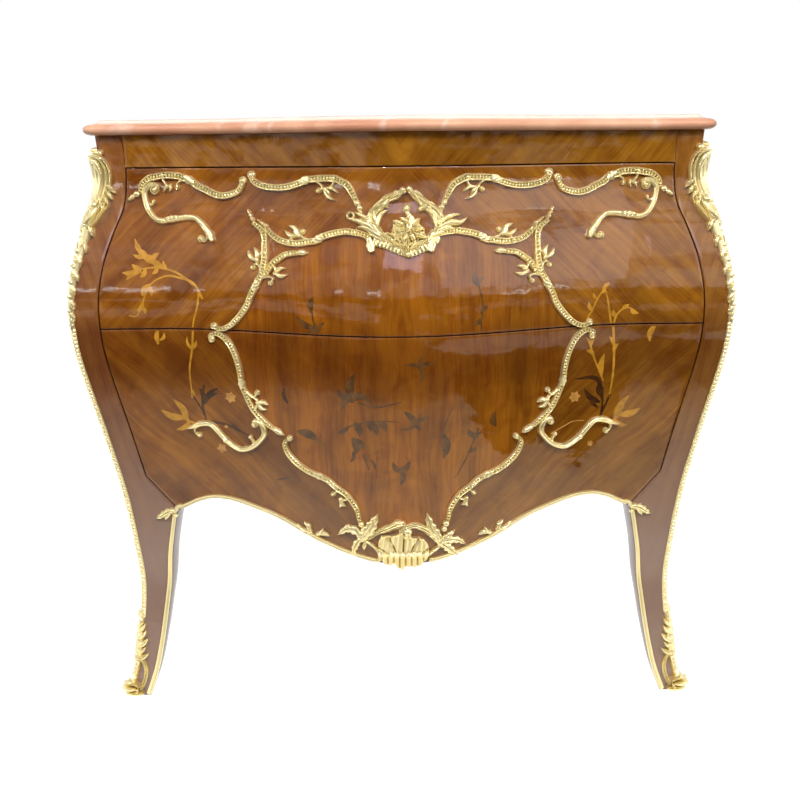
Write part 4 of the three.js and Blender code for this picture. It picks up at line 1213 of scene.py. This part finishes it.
def mid_scroll():
    line = [
        (42, 722), (42, 728), (46, 734), (54, 738), (65, 740), (77, 741), (90, 739), (103, 736), (113, 732),
        (119, 728), (127, 727), (139, 725), (149, 724), (160, 725), (171, 728), (180, 733), (187, 739),
        (191, 744),
    ]
    return [
        stem(line, 9.2),
        ribbon([(43, 730), (42, 724), (41, 718)], [(0, 8), (0.6, 13.5), (1, 11)], 6.4, rounded),
        wrap((108, 734), (121, 728), 12), collar((159, 725), 3.3),
        *tail([(193, 748), (198, 751), (202, 754)], 3.4),
        ribbon([(157, 727), (153, 733), (147, 736)], 4, 3.4, rounded),
        *sprig((143, 735), [(165, 742), (159, 749), (148, 747)], 7),
        *tendril([(124, 728), (131, 730), (138, 733), (142, 738), (138, 741)], 3.8, 3.1),
    ]


def forked_scroll():
    outer = [
        (211, 751), (205, 747), (198, 741), (194, 732), (194, 723), (194, 714), (194, 704), (195, 697),
        (197, 688), (199, 680), (204, 671), (209, 662), (216, 650), (220, 639), (227, 628), (236, 617),
        (246, 607), (257, 600.5), (266, 599), (273, 601),
    ]
    inner = [(142, 711), (154, 710), (164, 708), (175, 701), (183, 695), (189, 686), (196, 678)]
    return [
        stem(outer, 8.8), stem(inner, 8), *tail([(213, 757), (216, 762), (218, 767)], 3.3),
        leaf([(146, 711), (139, 712), (130, 712)], 9, 5.6, rounded), collar((194, 710), 3.2),
        wrap((205, 669), (211, 658), 11.5), eye((275, 603), 5.2),
        *sprig((206, 699), [(220, 713), (211, 718)], 7),
        ribbon([(195, 710), (201, 708), (205, 702)], 3.8, 3.4, rounded),
        *tendril([(200, 682), (202, 691), (208, 694), (212, 689)], 3.6, 3),
        *sprig((179, 682), [(163, 690), (160, 681)], 6.5),
        ribbon([(182, 694), (179, 688), (178, 683)], 3.6, 3.2, rounded),
        *tendril([(196, 675), (188, 677), (182, 674), (186, 668)], 3.6, 3),
    ]


def panel_scroll():
    line = [
        (279, 584), (281, 588), (276, 591), (268, 591.5), (259, 586), (252, 578), (246, 567), (242, 556),
        (239, 544), (237, 531), (236, 518), (232, 506), (227, 493), (220, 479), (211, 468), (201, 459),
        (192, 452),
    ]
    return [
        stem(line, 8), eye((279, 583), 5), wrap((237, 524), (235, 512), 11), bead((188, 450), 3.8, 5.4),
        leaf([(189, 451), (183, 447), (175, 442)], 8, 5.6, rounded),
        *tendril([(229, 506), (223, 499), (218, 498), (213, 505)], 3.8, 3.2),
        *sprig((213, 490), [(197, 487), (200, 479)], 6.5),
        ribbon([(222, 500), (213, 491), (216, 481)], 3.4, 3.2, rounded),
    ]


def lower_pull():
    line = [
        (219, 456), (219, 460), (215, 461), (209, 457), (205, 449), (205, 440), (212, 430), (221, 421),
        (234, 414), (245, 413), (257, 419), (266, 426), (274, 435), (282, 444), (289, 450), (297, 451),
        (306, 450), (315, 446), (329, 442),
    ]
    return [
        smooth_stem(line, 7.8, 6.5), eye((219, 455), 5, 7), collar((266, 426), 4.6, 8),
        *tendril([(310, 447), (315, 441), (313, 434), (308, 432)], 3.8, 3.6, 4.4),
        ribbon([(222, 421), (223, 427), (226, 433)], 3.8, 4.4, rounded), bead((227, 434), 3.2, 4.8),
    ]


def low_scroll():
    line = [
        (167, 437), (172, 433), (173, 425), (168, 413), (156, 400), (141, 390), (126, 384), (111, 378),
        (96, 366), (82, 356), (73, 344), (67, 332), (65, 321), (62, 311),
    ]
    return [
        stem(line, 7.6), eye((166, 438), 4.6), wrap((130, 386), (116, 380), 10.5), bead((62, 311), 4.8, 6),
        bead((59, 303), 4.6, 6.4), *tendril([(112, 376), (100, 368), (98, 361), (103, 356)], 3.6, 3),
        *sprig((92, 349), [(94, 335), (84, 338)], 6.5),
        ribbon([(80, 353), (85, 348), (91, 349)], 3.4, 3.2, rounded),
    ]


def round_leaves(rows):
    return [leaf(points, width, rise, rounded) for points, width, rise in rows]


def cartouche_arms():
    """The ruffled lower edge, the leafy arms, and the beads and leaves where the arms meet."""
    ruffle = [(k / 34, 12.8 if k % 2 else 10.6) for k in range(35)]

    def ruffled(v, run, share):
        return (0.7 + 0.3 * np.abs(np.sin(17 * np.pi * share))) * np.sqrt(1 - 0.6 * v ** 2)

    lip = [(34, 728), (19, 723), (7, 718), (-10, 712), (-22, 715), (-35, 721), (-49, 730)]
    made = [ribbon(lip, ruffle, 5, ruffled)]
    for points, width, rise, count in (
        ([(-4, 797), (7, 792), (19, 785), (29, 777), (37, 768), (42, 757), (41, 744)], 12, 6.8, 6),
        ([(-13, 797), (-23, 788), (-32, 781), (-42, 773), (-50, 765), (-54, 757), (-53, 744)], 13, 6.8, 6),
        ([(-54, 756), (-52, 748), (-48, 740), (-40, 732), (-29, 724), (-15, 717)], 10, 7, 5),
        ([(40, 752), (36, 748), (30, 741), (22, 733), (11, 725), (-1, 718), (-8, 714)], 10, 7, 6),
    ):
        made += leafy(points, width, rise, count)
    for at, radius, rise in (
        ((-3, 798.5), 4.4, 8), ((-12, 799.5), 4.8, 8.4), ((6, 795), 3.8, 6.6), ((-21, 795), 3.8, 6.6),
        ((-27, 771), 3.8, 7),
    ):
        made.append(bead(at, radius, rise))
    return made + round_leaves((
        ([(17, 785), (20, 779), (17, 773)], 9, 7.2), ([(-36, 778), (-30, 773), (-23, 772)], 10, 7.4),
        ([(33, 742), (32, 755), (26, 766), (16, 771)], 8, 6),
        ([(-48, 748), (-46, 760), (-40, 768), (-30, 771)], 9, 6),
    ))


def cartouche_bouquet():
    """A bud on its stalk over a bunch of flowers with pointed petals and round eyes."""
    def lumpy(u, w, margin):
        lumps = np.cos(0.75 * u + 0.3 * w) * np.cos(0.7 * w - 0.2 * u)
        return 0.55 + 0.3 * lumps + 0.14 * np.cos(0.9 * (u - w))

    def domed(u, w, margin):
        return np.sqrt(np.clip(margin / 5, 0.05, 1))

    bunch = [
        (11, 756), (3, 755), (-4, 760), (-15, 760), (-21, 757), (-26, 759), (-26, 751), (-31, 745),
        (-34, 736), (-36, 731), (-28, 733), (-22, 727), (-15, 722), (-6, 722), (2, 728), (9, 732), (13, 741),
        (11, 748),
    ]
    bud = [(-8, 781), (-13, 778), (-14, 772), (-12, 767), (-8, 765), (-4, 767), (-2.5, 772), (-4, 778)]
    made = [
        plate(bud, 9, domed), plate(bunch, 7.0, lumpy),
        ribbon([(-8, 768), (-12, 762), (-15, 757), (-13, 750)], [(0, 6), (0.4, 8), (1, 13)], 7, rounded),
    ]
    for k, (root, tip) in enumerate((
        ((-3, 748), (11, 757)), ((-4, 743), (13, 744)), ((-12, 750), (2, 760)), ((-17, 750), (-27, 759)),
        ((-20, 744), (-33, 745)), ((-18, 738), (-37, 731)), ((-4, 740), (9, 733)), ((-8, 736), (-3, 724)),
        ((-14, 738), (-18, 723)), ((-12, 752), (-17, 761)),
    )):
        middle = ((root[0] + tip[0]) / 2 + (1 if k % 2 else -1), (root[1] + tip[1]) / 2)
        made.append(leaf([root, middle, tip], 7.5, 7.8 + 0.8 * (k % 3), rounded))
    for at, radius in (
        ((-2, 749), 4.2), ((-17, 749), 4.4), ((-9, 741), 5), ((-21, 741), 3.8), ((3, 741), 3.4),
        ((-27, 738), 3),
    ):
        made.append(bead(at, radius, 10.5, 0.4))
    return made


def cartouche_sprays():
    """The leaf at the foot with its tendrils, and a spray of leaves to each side, one with a rolled tip."""
    rolled = [(69 + 4.6 * math.cos(a), 762.5 + 4.6 * math.sin(a)) for a in np.linspace(0.4, 6.6, 12)]
    return [
        *leafy([(-8, 732), (-6, 724), (-9, 713)], 9, 8.6, 3), bead((-10, 710), 4.8, 9.5),
        *tendril([(27, 733), (20, 739), (12, 737)], 3.8, 2.8, 5),
        *tendril([(13, 729), (6, 731), (2, 727)], 3.6, 2.6, 5.4), ribbon(rolled, 3.8, 5.6, rounded),
        *round_leaves((
            ([(-14, 719), (-23, 725), (-34, 730)], 6, 8), ([(-12, 717), (-18, 723), (-21, 731)], 5.5, 8),
            ([(-36, 726), (-42, 736), (-40, 745)], 6.5, 7),
            ([(32, 742), (42, 755), (53, 763), (66, 768)], 8.5, 6.4),
            ([(28, 736), (42, 748), (56, 755), (73, 758)], 9.5, 6.8),
            ([(24, 731), (38, 741), (50, 747), (62, 747)], 8.5, 6.4),
            ([(22, 728), (34, 734), (46, 741)], 7, 6),
            ([(-52, 750), (-61, 758), (-72, 762), (-85, 763)], 7.5, 6.4),
            ([(-53, 746), (-68, 752), (-81, 752), (-93, 759)], 9.5, 6.8),
            ([(-50, 741), (-58, 744), (-66, 745), (-75, 742)], 8.5, 6.4),
            ([(-46, 735), (-54, 739), (-61, 738)], 7, 6),
        )),
    ]


def cartouche():
    """The pierced centre mount: two leafy arms round a bud and a bunch of flowers, over a ruffled edge."""
    return cartouche_arms() + cartouche_bouquet() + cartouche_sprays()


def shell_mount():
    """A scallop bowl with a lobed lip, under a leafy garland and between two star-shaped leaves."""
    bowl = [
        (33, 296), (37, 284), (37, 271), (34, 257), (28, 251), (21, 249), (14, 251), (9, 245), (3, 242),
        (-4, 247), (-11, 246), (-20, 247), (-28, 252), (-35, 262), (-36, 276), (-32, 287), (-25, 292),
        (-15, 293), (-8, 296), (-5, 301), (5, 301), (14, 297), (24, 296),
    ]

    def fluted(u, w, margin):
        wave = np.cos(2 * np.pi * (u - 2) / 8.6)
        lip = np.exp(-((w - 265.5 - 0.8 * wave) / 2.6) ** 2)
        ribs = 0.45 + 0.45 * np.sqrt(np.clip(0.5 + 0.5 * wave, 0, 1))
        angle = np.arctan2(u - 2, w - 250)
        grooves = np.exp(-(np.sin(angle * 6.5 + 0.3) / 0.24) ** 2)
        folds = 0.1 * np.cos(0.9 * u + 0.1 * w)
        fan = 0.66 - 0.34 * grooves + folds + 0.2 * np.exp(-(margin / 1.8) ** 2)
        return np.where(w < 264, ribs, fan) * (1 - lip) + lip * (1.02 + 0.12 * wave)

    star_leaves = (
        ([(61, 288), (56, 296), (48, 308), (38, 328)], 20, 6.4),
        ([(60, 290), (70, 300), (82, 303), (98, 291)], 15, 6.2),
        ([(61, 290), (69, 281), (73, 271), (75, 259)], 12, 6.2),
        ([(-53, 281), (-48, 293), (-41, 304), (-34, 329)], 18, 6.4),
        ([(-55, 284), (-65, 292), (-75, 299)], 11, 6),
        ([(-54, 283), (-68, 285), (-81, 283), (-92, 274)], 13, 6.2),
        ([(-54, 281), (-61, 276), (-70, 268), (-80, 259)], 15, 6.2),
    )
    return [
        plate(bowl, 8.5, fluted),
        ribbon([(50, 291), (42, 297), (32, 303), (20, 308), (9, 313), (1, 314)],
               [(0, 7), (0.35, 9), (0.55, 12), (0.68, 10), (0.85, 14), (1, 8)], 6, ridged),
        ribbon([(4, 303), (-6, 309), (-17, 311), (-27, 307), (-38, 299), (-50, 288)],
               [(0, 8), (0.3, 9), (0.7, 11), (1, 13)], 6, ridged),
        bead((-6, 301), 6.5, 8.5), *sprig((-6, 300), [(3, 292), (-14, 291), (-5, 289)], 7, 8),
        ribbon([(54, 284), (48, 280), (42, 275), (37, 267), (36, 256)], 5, 5.4, rounded),
        ribbon([(-52, 278), (-48, 273), (-41, 268), (-35, 263)], 5.2, 5.4, rounded),
        *(leaf(points, width, rise, veined, LOBED_WIDTH) for points, width, rise in star_leaves),
        leaf([(57, 296), (54, 305), (50, 311)], 8, 6), leaf([(56, 284), (58, 277), (59, 270)], 7, 5.4),
        leaf([(-54, 284), (-52, 292), (-50, 300)], 8, 6), bead((60, 289), 6, 6.8, 0.3),
        bead((-54, 282), 6.4, 6.8, 0.3),
    ]


def apron_fillet():
    def edge(share):
        return share * float(stile_inner(LEG_TOP)), float(apron_height(share)) + 3.6

    line = [edge(share) for share in np.linspace(0.115, 0.985, 26)]
    return [
        ribbon(line, 6.2, 3.4, banded), bead(line[0], 4, 4.5),
        *sprig((128, 289), [(110, 287), (120, 299)], 7, 4.6),
        *sprig((140, 292), [(160, 301), (149, 306)], 7, 4.6),
    ]


def leg_fillet():
    levels = np.linspace(5, 299, 26)
    line = [(float(stile_inner(z)) + 4.6, z) for z in levels]
    return [
        ribbon(line, [(0, 8.4), (0.5, 7.4), (1, 6.4)], 3.2, banded),
        leaf([(356, 305), (366, 303), (376, 298), (387, 291)], 14, 5.8, ridged, LOBED_WIDTH),
        leaf([(364, 302), (369, 296), (373, 289)], 7, 5.4, rounded),
        leaf([(356, 303), (352, 311), (345, 316)], 7, 5, rounded), bead((357, 305), 4.4, 6.8, 0.3),
        bead((356, 297), 3.8, 5.6),
    ]


def rising(points, table, share=1.0):
    """How far a stroke stands out at each of its points, from a table by height."""
    run = length_along(np.asarray(points, float))
    return [(r / run[-1], share * float(smooth_at(table, p[1]))) for r, p in zip(run, points)]


CHUTE_REACH = [
    (600, 4), (630, 4.5), (650, 5.5), (674, 6), (697, 8), (713, 8), (732, 9), (752, 10), (764, 13), (785, 17),
    (802, 18), (820, 18), (836, 14), (848, 8), (866, 7),
]
CHUTE_NOSE = [
    (600, 4), (640, 4), (699, 5), (713, 6), (728, 8), (742, 10), (756, 11.6), (771, 11), (785, 9), (800, 7),
    (829, 9), (858, 12.6), (866, 9),
]


def chute_side(side):
    """The flutes, the ragged leaf tips and two balls on one side of the shoulder mount."""
    made = []
    for points, width, share in (
        ([(2, 849), (8, 838), (12, 824), (12, 808), (9, 792), (5, 778)], 6.0, 1.1),
        ([(0, 848), (3, 834), (5, 820), (4, 804), (2, 786), (1, 770)], 5.6, 1.16),
        ([(5, 849), (13, 839), (17, 825), (17, 808), (17, 797)], 4.6, 1.0),
        ([(13, 781), (12, 768), (8, 755), (3, 742)], 5.4, 1.06),
        ([(7, 783), (6, 770), (3, 756), (0, 744)], 5.0, 1.12),
        ([(17, 780), (16, 768), (12, 756), (7, 744)], 4.2, 0.96),
    ):
        points = [(side * u, z) for u, z in points]
        widths = scaled([(0, 0.7), (0.2, 1), (0.8, 1), (1, 0.6)], width)
        made.append(ribbon(points, widths, rising(points, CHUTE_NOSE, share), rounded))
    for k, points in enumerate((
        ((12, 806), (19, 801), (26, 794)), ((11, 798), (17, 792), (23, 784)),
        ((8, 790), (14, 782), (19, 774)), ((5, 780), (11, 772), (16, 762)),
        ((4, 744), (9, 738), (14, 731)), ((3, 722), (8, 716), (11, 707)), ((2, 704), (6, 696), (8, 688)),
        ((1, 682), (5, 676), (9, 667)), ((1, 661), (4, 655), (6, 648)),
        ((1, 640), (4, 634), (5, 627)), ((1, 622), (3, 616), (5, 610)),
    )):
        points = [(side * u, z) for u, z in points]
        rise = 1.1 * float(smooth_at(CHUTE_NOSE, points[0][1]))
        made.append(leaf(points, 8 if k < 5 else 6.4, rise, rounded))
    return made + [bead((side * 6, 784), 3.6, 10.5), bead((side * 9, 741), 3.6, 9, 0.5)]


def chute():
    """The long shoulder mount: two balls, curved flutes, ragged leaf tips and a chain of husks."""
    low, high = 600.5, 848.0
    levels = np.linspace(low, high, 24)
    reach = [((z - low) / (high - low), 1.86 * float(smooth_at(CHUTE_REACH, z))) for z in levels]
    body = [(0, z) for z in levels]
    made = [ribbon(body, reach, rising(body, CHUTE_NOSE, 0.74), rounded), *chute_side(1), *chute_side(-1)]
    # Husks of the chain, hung a little unevenly
    for k, (u, z, radius) in enumerate((
        (-2, 729, 4.6), (2.5, 720, 4), (-2.5, 710, 4.4), (2, 698, 4.2), (-2, 689, 3.8), (2, 675, 4.2),
        (-2, 666, 3.6), (1.5, 653, 3.8), (-1.5, 645, 3.4), (1.5, 632, 3.6), (-1, 624, 3.2), (1, 612, 3.4),
        (0, 604, 3.2),
    )):
        made.append(bead((u, z), radius, 8.8 - 0.3 * k, 0.3))
    return made + [
        bead((5.4, 854), 5, 10), bead((-5.4, 857), 5, 10),
        ribbon([(-9, 845), (0, 848), (9, 845)], 4.5, 11, rounded),
        ribbon([(-12, 778), (0, 774), (12, 778)], 4.5, 11.5, wrapped),
    ]


def corner_strip():
    """A narrow strip on the arris with a row of small teeth beside a smooth line."""
    def toothed(v, run, share):
        line = np.exp(-((v - 0.72) / 0.22) ** 2)
        teeth = (0.55 + 0.45 * np.cos(2 * np.pi * run / 6.0)) * np.exp(-((v + 0.1) / 0.6) ** 4)
        return 0.3 + 0.5 * line + 0.7 * teeth

    return [ribbon([(0, 128), (0, 360), (0, 596)], 9, 3.6, toothed)]


SABOT_NOSE = [
    (0, 15), (6, 22), (12, 25), (19, 22), (30, 12), (43, 8.5), (56, 7.5), (89, 7.5), (113, 6), (130, 4),
]


def sabot():
    """The foot mount: a rounded toe, a loop round an open slot on each flank and pointed leaves above."""
    shank = [(0, z) for z in (116, 104, 88, 72, 56, 42, 30, 20)]
    made = [
        ribbon(shank, [(0, 3), (0.3, 6.4), (0.55, 7), (0.75, 5), (1, 5)], rising(shank, SABOT_NOSE), wrapped),
        bead((0, 12), 8.5, 23, 0.45), ribbon([(-10, 17), (0, 20), (10, 17)], 4, 20, rounded),
        ribbon([(-12, 4.5), (0, 3.6), (12, 4.5)], 7, 15, rounded),
    ]
    for side in (1, -1):
        for root, tip, width in (
            ((0, 58), (15, 69), 8), ((0, 68), (9, 80), 6.5), ((0, 78), (11, 93), 8.5), ((0, 92), (7, 106), 7),
            ((0, 103), (5, 117), 5), ((0, 110), (1.5, 127), 3.6),
        ):
            middle = ((root[0] + tip[0]) * 0.5 * side, (root[1] + tip[1]) / 2 - 1.5)
            made.append(leaf([(root[0], root[1]), middle, (tip[0] * side, tip[1])], width,
                             1.12 * float(smooth_at(SABOT_NOSE, root[1])), rounded))
        loop = ((1, 61), (8, 54), (12.5, 44), (14, 33), (13, 22), (9.5, 12), (4, 6))
        strand = [(side * u, z) for u, z in loop]
        made += [
            ribbon(strand, [(0, 5), (0.25, 7), (0.8, 7.6), (1, 8)], [(0, 8), (0.5, 7), (0.8, 10), (1, 14)],
                   ridged),
            bead((side * 6, 12), 5, 20, 0.5),
        ]
    return made


def back_sabot():
    """The same foot mount on a back leg, cut square at the back."""
    shank = [(9, z) for z in (118, 100, 84, 70, 56, 42, 30, 20, 8, 1)]
    widths = [(0, 4), (0.3, 9), (0.6, 11), (0.85, 15), (1, 16)]
    made = [ribbon(shank, widths, rising(shank, SABOT_NOSE, 0.75), rounded)]
    for turn in (1, -1):
        for up, reach, width in ((56, 8, 7), (74, 7, 7), (90, 4, 6)):
            root, tip = (9, up), (9 + reach * turn, up + 18)
            middle = ((root[0] + tip[0]) / 2, (root[1] + tip[1]) / 2 - 2)
            made.append(leaf([root, middle, tip], width, 7, rounded))
        loop = [(9 + turn * u, z) for u, z in ((1, 56), (6, 48), (8, 36), (8, 22), (6, 8))]
        made.append(ribbon(loop, 4.6, [(0, 7), (0.6, 8), (1, 13)], rounded))
    return made + [leaf([(9, 104), (9, 116), (9, 127)], 6, 6, rounded)]


FRONT_CASTINGS = [
    ("outer_scroll", outer_scroll, "upper_drawer"), ("inner_scroll", inner_scroll, "upper_drawer"),
    ("upper_pull", upper_pull, "upper_drawer"), ("mid_scroll", mid_scroll, "upper_drawer"),
    ("forked_scroll", forked_scroll, "upper_drawer"), ("panel_scroll", panel_scroll, "lower_drawer"),
    ("lower_pull", lower_pull, "lower_drawer"), ("low_scroll", low_scroll, "lower_drawer"),
    ("apron_moulding", apron_fillet, "lower_drawer"), ("leg_moulding", leg_fillet, "carcass"),
]


def build_castings():
    for name, side in (("left", -1), ("right", 1)):
        for kind, strokes, body in FRONT_CASTINGS:
            node_name = kind + "_" + name
            relief("casting_" + node_name, strokes(), on_front(side), body, GILT, [node_name])
        for kind, strokes in (("chute", chute), ("corner_strip", corner_strip), ("sabot_front", sabot)):
            node_name = kind + "_" + name
            relief("casting_" + node_name, strokes(), on_corner(side), "carcass", GILT, [node_name])
        node_name = "sabot_back_" + name
        relief("casting_" + node_name, back_sabot(), on_back_corner(side), "carcass", GILT, [node_name])
    relief("casting_cartouche", cartouche(), on_front(-1), "upper_drawer", GILT, ["cartouche"])
    relief("casting_shell", shell_mount(), on_front(-1), "lower_drawer", GILT, ["shell_mount"])


build_castings()


# Stage
def flat_sheet(name, corners, material):
    mesh = bpy.data.meshes.new(name)
    mesh.from_pydata(corners, [], [(0, 1, 2, 3)])
    mesh.materials.append(material)
    made = bpy.data.objects.new(name, mesh)
    bpy.context.scene.collection.objects.link(made)
    return made


def upright(start, end, away, low, high):
    """Corners of a sheet that stands across the room."""
    return [(start, away, low), (end, away, low), (end, away, high), (start, away, high)]


def at_level(places, up):
    return [(x, y, up) for x, y in places]


def lying(start, end, near, far, up):
    """Corners of a level sheet."""
    return at_level(((start, near), (end, near), (end, far), (start, far)), up)


def seen_directly(tree):
    """1 for what the camera sees, also in a polished surface, and 0 for the light that falls on things."""
    path = node(tree, "ShaderNodeLightPath")
    seen = maths(tree, "MAXIMUM", path.outputs["Is Camera Ray"], path.outputs["Is Glossy Ray"])
    return maths(tree, "MAXIMUM", seen, path.outputs["Is Transmission Ray"])


def stage_floor():
    made, tree, shader = new_material("pale_floor")
    set_inputs(shader, {"Base Color": colour("#9E9C98"), "Roughness": 0.9})
    glow = node(tree, "ShaderNodeEmission", {"Color": (1, 1, 1, 1), "Strength": 0.93})
    unseen = node(tree, "ShaderNodeEmission", {"Color": (0, 0, 0, 1), "Strength": 0.0})
    share = seen_directly(tree)
    extra = node(tree, "ShaderNodeMixShader", {0: share, 1: unseen.outputs[0], 2: glow.outputs[0]})
    total = node(tree, "ShaderNodeAddShader", {0: shader.outputs[0], 1: extra.outputs[0]}).outputs[0]
    tree.links.new(total, tree.nodes["Material Output"].inputs["Surface"])
    reach = 12.0
    floor = flat_sheet("floor", lying(-reach, reach, -reach, reach, 0), made)


def seen_in_polish(name, corners, material):
    """A stage sheet that only shows as a reflection in the polish and the gilding."""
    sheet = flat_sheet(name, corners, material)
    sheet.visible_camera = False
    sheet.visible_shadow = False
    sheet.visible_diffuse = False
    sheet.visible_transmission = False


def glowing(name, code, strength, broken=0.0, size=1.0):
    """A stage material that glows, in patches where it is broken, for painted reflections of lamps and
    glints.
    """
    made, tree, _ = new_material(name)
    power = strength
    if broken:
        stretch = (1.6 / size, 1.0, 6.0 / size)
        at = node(tree, "ShaderNodeMapping", {"Vector": spot_in(tree), "Scale": stretch}).outputs[0]
        power = ramp(tree, noise(tree, at, 1.7, 3.0), broken, broken + 0.1, 0.0, strength)
    glow_only(tree, code, power)
    return made


def uneven_light():
    """The room's wall and ceiling: patches with edges, soft clouds, brighter to the right, dark low down."""
    made, tree, _ = new_material("uneven_light_above")
    spot = spot_in(tree)
    across, _, up = parts_of(tree, spot)
    # Patches about a metre across, drawn out sideways
    at = node(tree, "ShaderNodeMapping", {
        "Vector": spot, "Location": (0.4, 0.0, 0.2), "Scale": (0.7, 1.0, 1.2),
    }).outputs[0]
    edges = ramp(tree, noise(tree, at, 1.1, 2.0, 0.5), 0.49, 0.53, 0.34, 0.62)
    clouds = ramp(tree, noise(tree, at, 2.6, 4.0), 0.35, 0.65, 0.8, 1.3)
    rightwards = ramp(tree, across, -1.5, 1.8, 0.8, 1.35)
    low_down = ramp(tree, up, 0.98, 1.1, kind="SMOOTHSTEP")
    power = maths(tree, "MULTIPLY", maths(tree, "MULTIPLY", edges, clouds), rightwards)
    glow_only(tree, "#FFF6F2", maths(tree, "MULTIPLY_ADD", power, low_down, 0.012))
    return made


def floor_falling_into_shade():
    """Bright near the chest and dark further off, in an oval."""
    made, tree, _ = new_material("floor_falling_into_shade")
    pulled = node(tree, "ShaderNodeVectorMath", {0: spot_in(tree), 1: (0.69, 1.0, 1.0)}, operation="MULTIPLY")
    away = node(tree, "ShaderNodeVectorMath", {0: pulled.outputs[0]}, operation="LENGTH").outputs["Value"]
    glow = node(tree, "ShaderNodeFloatCurve", {"Value": ramp(tree, away, 1.4, 0.6)})
    points = glow.mapping.curves[0].points
    points[0].location, points[-1].location = (0, 0.02), (1, 1)
    for place in ((0.35, 0.04), (0.5, 0.12), (0.58, 0.34), (0.7, 0.46), (0.8, 0.52), (0.9, 0.72)):
        points.new(*place)
    glow.mapping.update()
    glow_only(tree, "#FAF2DE", maths(tree, "MULTIPLY", glow.outputs[0], 1.25))
    return made


def room_in_polish():
    """Painted reflections of a room, seen only in the polish and the gilding: a bright floor near the chest,
    dark low walls, uneven light above and side windows.
    """
    far, wide, high = -4.0, 14.0, 4.0
    near = far + 0.03
    light = uneven_light()
    seen_in_polish("far_wall", upright(-wide, wide, far, 0, high), light)
    seen_in_polish("ceiling", lying(-wide, wide, far, 0.8, high), light)
    seen_in_polish("lit_floor", lying(-wide, wide, far, -0.36, 0.004), floor_falling_into_shade())
    seen_in_polish("far_floor", at_level(((0.5, -2.9), (2.9, -1.3), (1.45, -1.0), (0.7, -1.8)), 0.006),
                   glowing("sheen_on_far_floor", "#FFF4EC", 0.55, 0.4, 2.0))
    seen_in_polish("dark_floor", at_level(((0.62, -0.98), (1.5, -0.98), (1.5, -0.5), (0.76, -0.5)), 0.008),
                   glowing("shade_on_floor", "#402C18", 0.03))
    seen_in_polish("bright_wall", [(2.1, near, 1.3), (8.0, near, 1.4), (8.0, near, 3.98), (1.7, near, 3.98)],
                   glowing("bright_wall", "#FBF2F4", 1.35))
    seen_in_polish("pale_window", [(-0.9, near, 1.95), (1.1, near, 1.8), (1.2, near, 2.9), (-0.8, near, 3.0)],
                   glowing("pale_window", "#E8E4FF", 2.4, 0.3, 2.0))
    for name, start, end, strength, broken in (
        ("wall_foot_left", -7.0, -1.0, 0.5, 0.4), ("wall_foot_right", 0.9, 7.0, 0.36, 0.47),
    ):
        light = glowing(name, "#FFF0E6", strength, broken, 3.0)
        seen_in_polish(name, upright(start, end, near, 0, 0.72), light)
    window = glowing("side_window", "#FFFFFF", 3.0)
    for name, x in (("window_left", -3.4), ("window_right", 3.4)):
        seen_in_polish(name, [(x, -1.9, 0.6), (x, -0.7, 0.6), (x, -0.7, 2.2), (x, -1.9, 2.2)], window)
    # Painted glints: strips seen only in the polish, standing in for lamps far off
    glints = glowing("lamps_far_off", "#FFFFFF", 7.0, 0.46, 0.12)
    for k, (start, end) in enumerate(((-1.7, -1.05), (-3.6, -3.1), (5.4, 6.4))):
        seen_in_polish("lamps_%d" % k, upright(start, end, near, 1.08, 1.17), glints)


def area_light(name, at, aim, size, power, shines=True):
    lamp = bpy.data.lights.new(name, "AREA")
    lamp.shape = "RECTANGLE"
    lamp.size, lamp.size_y = size
    lamp.energy = power
    made = bpy.data.objects.new(name, lamp)
    made.visible_glossy = shines
    made.location = at
    made.rotation_euler = (Vector(aim) - Vector(at)).to_track_quat("-Z", "Y").to_euler()
    bpy.context.scene.collection.objects.link(made)


def lamps():
    """Two broad lamps that the polish doesn't show, and strips and downlights that it does."""
    for name, at, power in (("top_left", (-1.3, -2.4, 2.7), 57), ("top_right", (1.5, -2.2, 2.7), 52)):
        area_light(name, at, (0, 0, 0.5), (1.8, 1.2), power, shines=False)
    area_light("strip_left", (-0.9, -1.1, 1.75), (0, -0.1, 0.75), (0.5, 0.02), 3)
    area_light("strip_right", (0.7, -1.2, 1.7), (0, -0.1, 0.7), (0.5, 0.02), 3)
    for number, at in enumerate(((-1.5, -1.6, 2.6), (-0.5, -2.2, 2.7), (0.6, -2.1, 2.7), (1.5, -1.5, 2.6))):
        area_light("downlight_%d" % number, at, (0, -0.1, 0.6), (0.07, 0.07), 9)
    for name, across in (("far_left", -3.0), ("far_right", 3.0)):
        area_light(name, (across, -1.3, 1.3), (0, -0.2, 0.6), (0.06, 1.3), 8)


def world_light():
    world = bpy.data.worlds.new("studio")
    world.use_nodes = True
    tree = world.node_tree
    strength = ramp(tree, seen_directly(tree), 0.0, 1.0, 0.24, 1.0)
    tree.links.new(strength, tree.nodes["Background"].inputs["Strength"])
    tree.nodes["Background"].inputs["Color"].default_value = (1, 1, 1, 1)
    bpy.context.scene.world = world


def camera():
    """A little below the marble and looking slightly down, as in the photo."""
    lens = bpy.data.cameras.new("camera")
    lens.lens = 57.6
    lens.sensor_width = 36.0
    made = bpy.data.objects.new("camera", lens)
    pitch = Matrix.Rotation(math.radians(90 - 11.05), 4, "X")
    roll = Matrix.Rotation(math.radians(-0.6), 4, "Z")
    made.matrix_world = Matrix.Translation((-0.0037, -2.0145, 0.853)) @ pitch @ roll
    bpy.context.scene.collection.objects.link(made)
    bpy.context.scene.camera = made


stage_floor()
room_in_polish()
world_light()
lamps()
camera()
bpy.context.scene.view_settings.view_transform = "Standard"
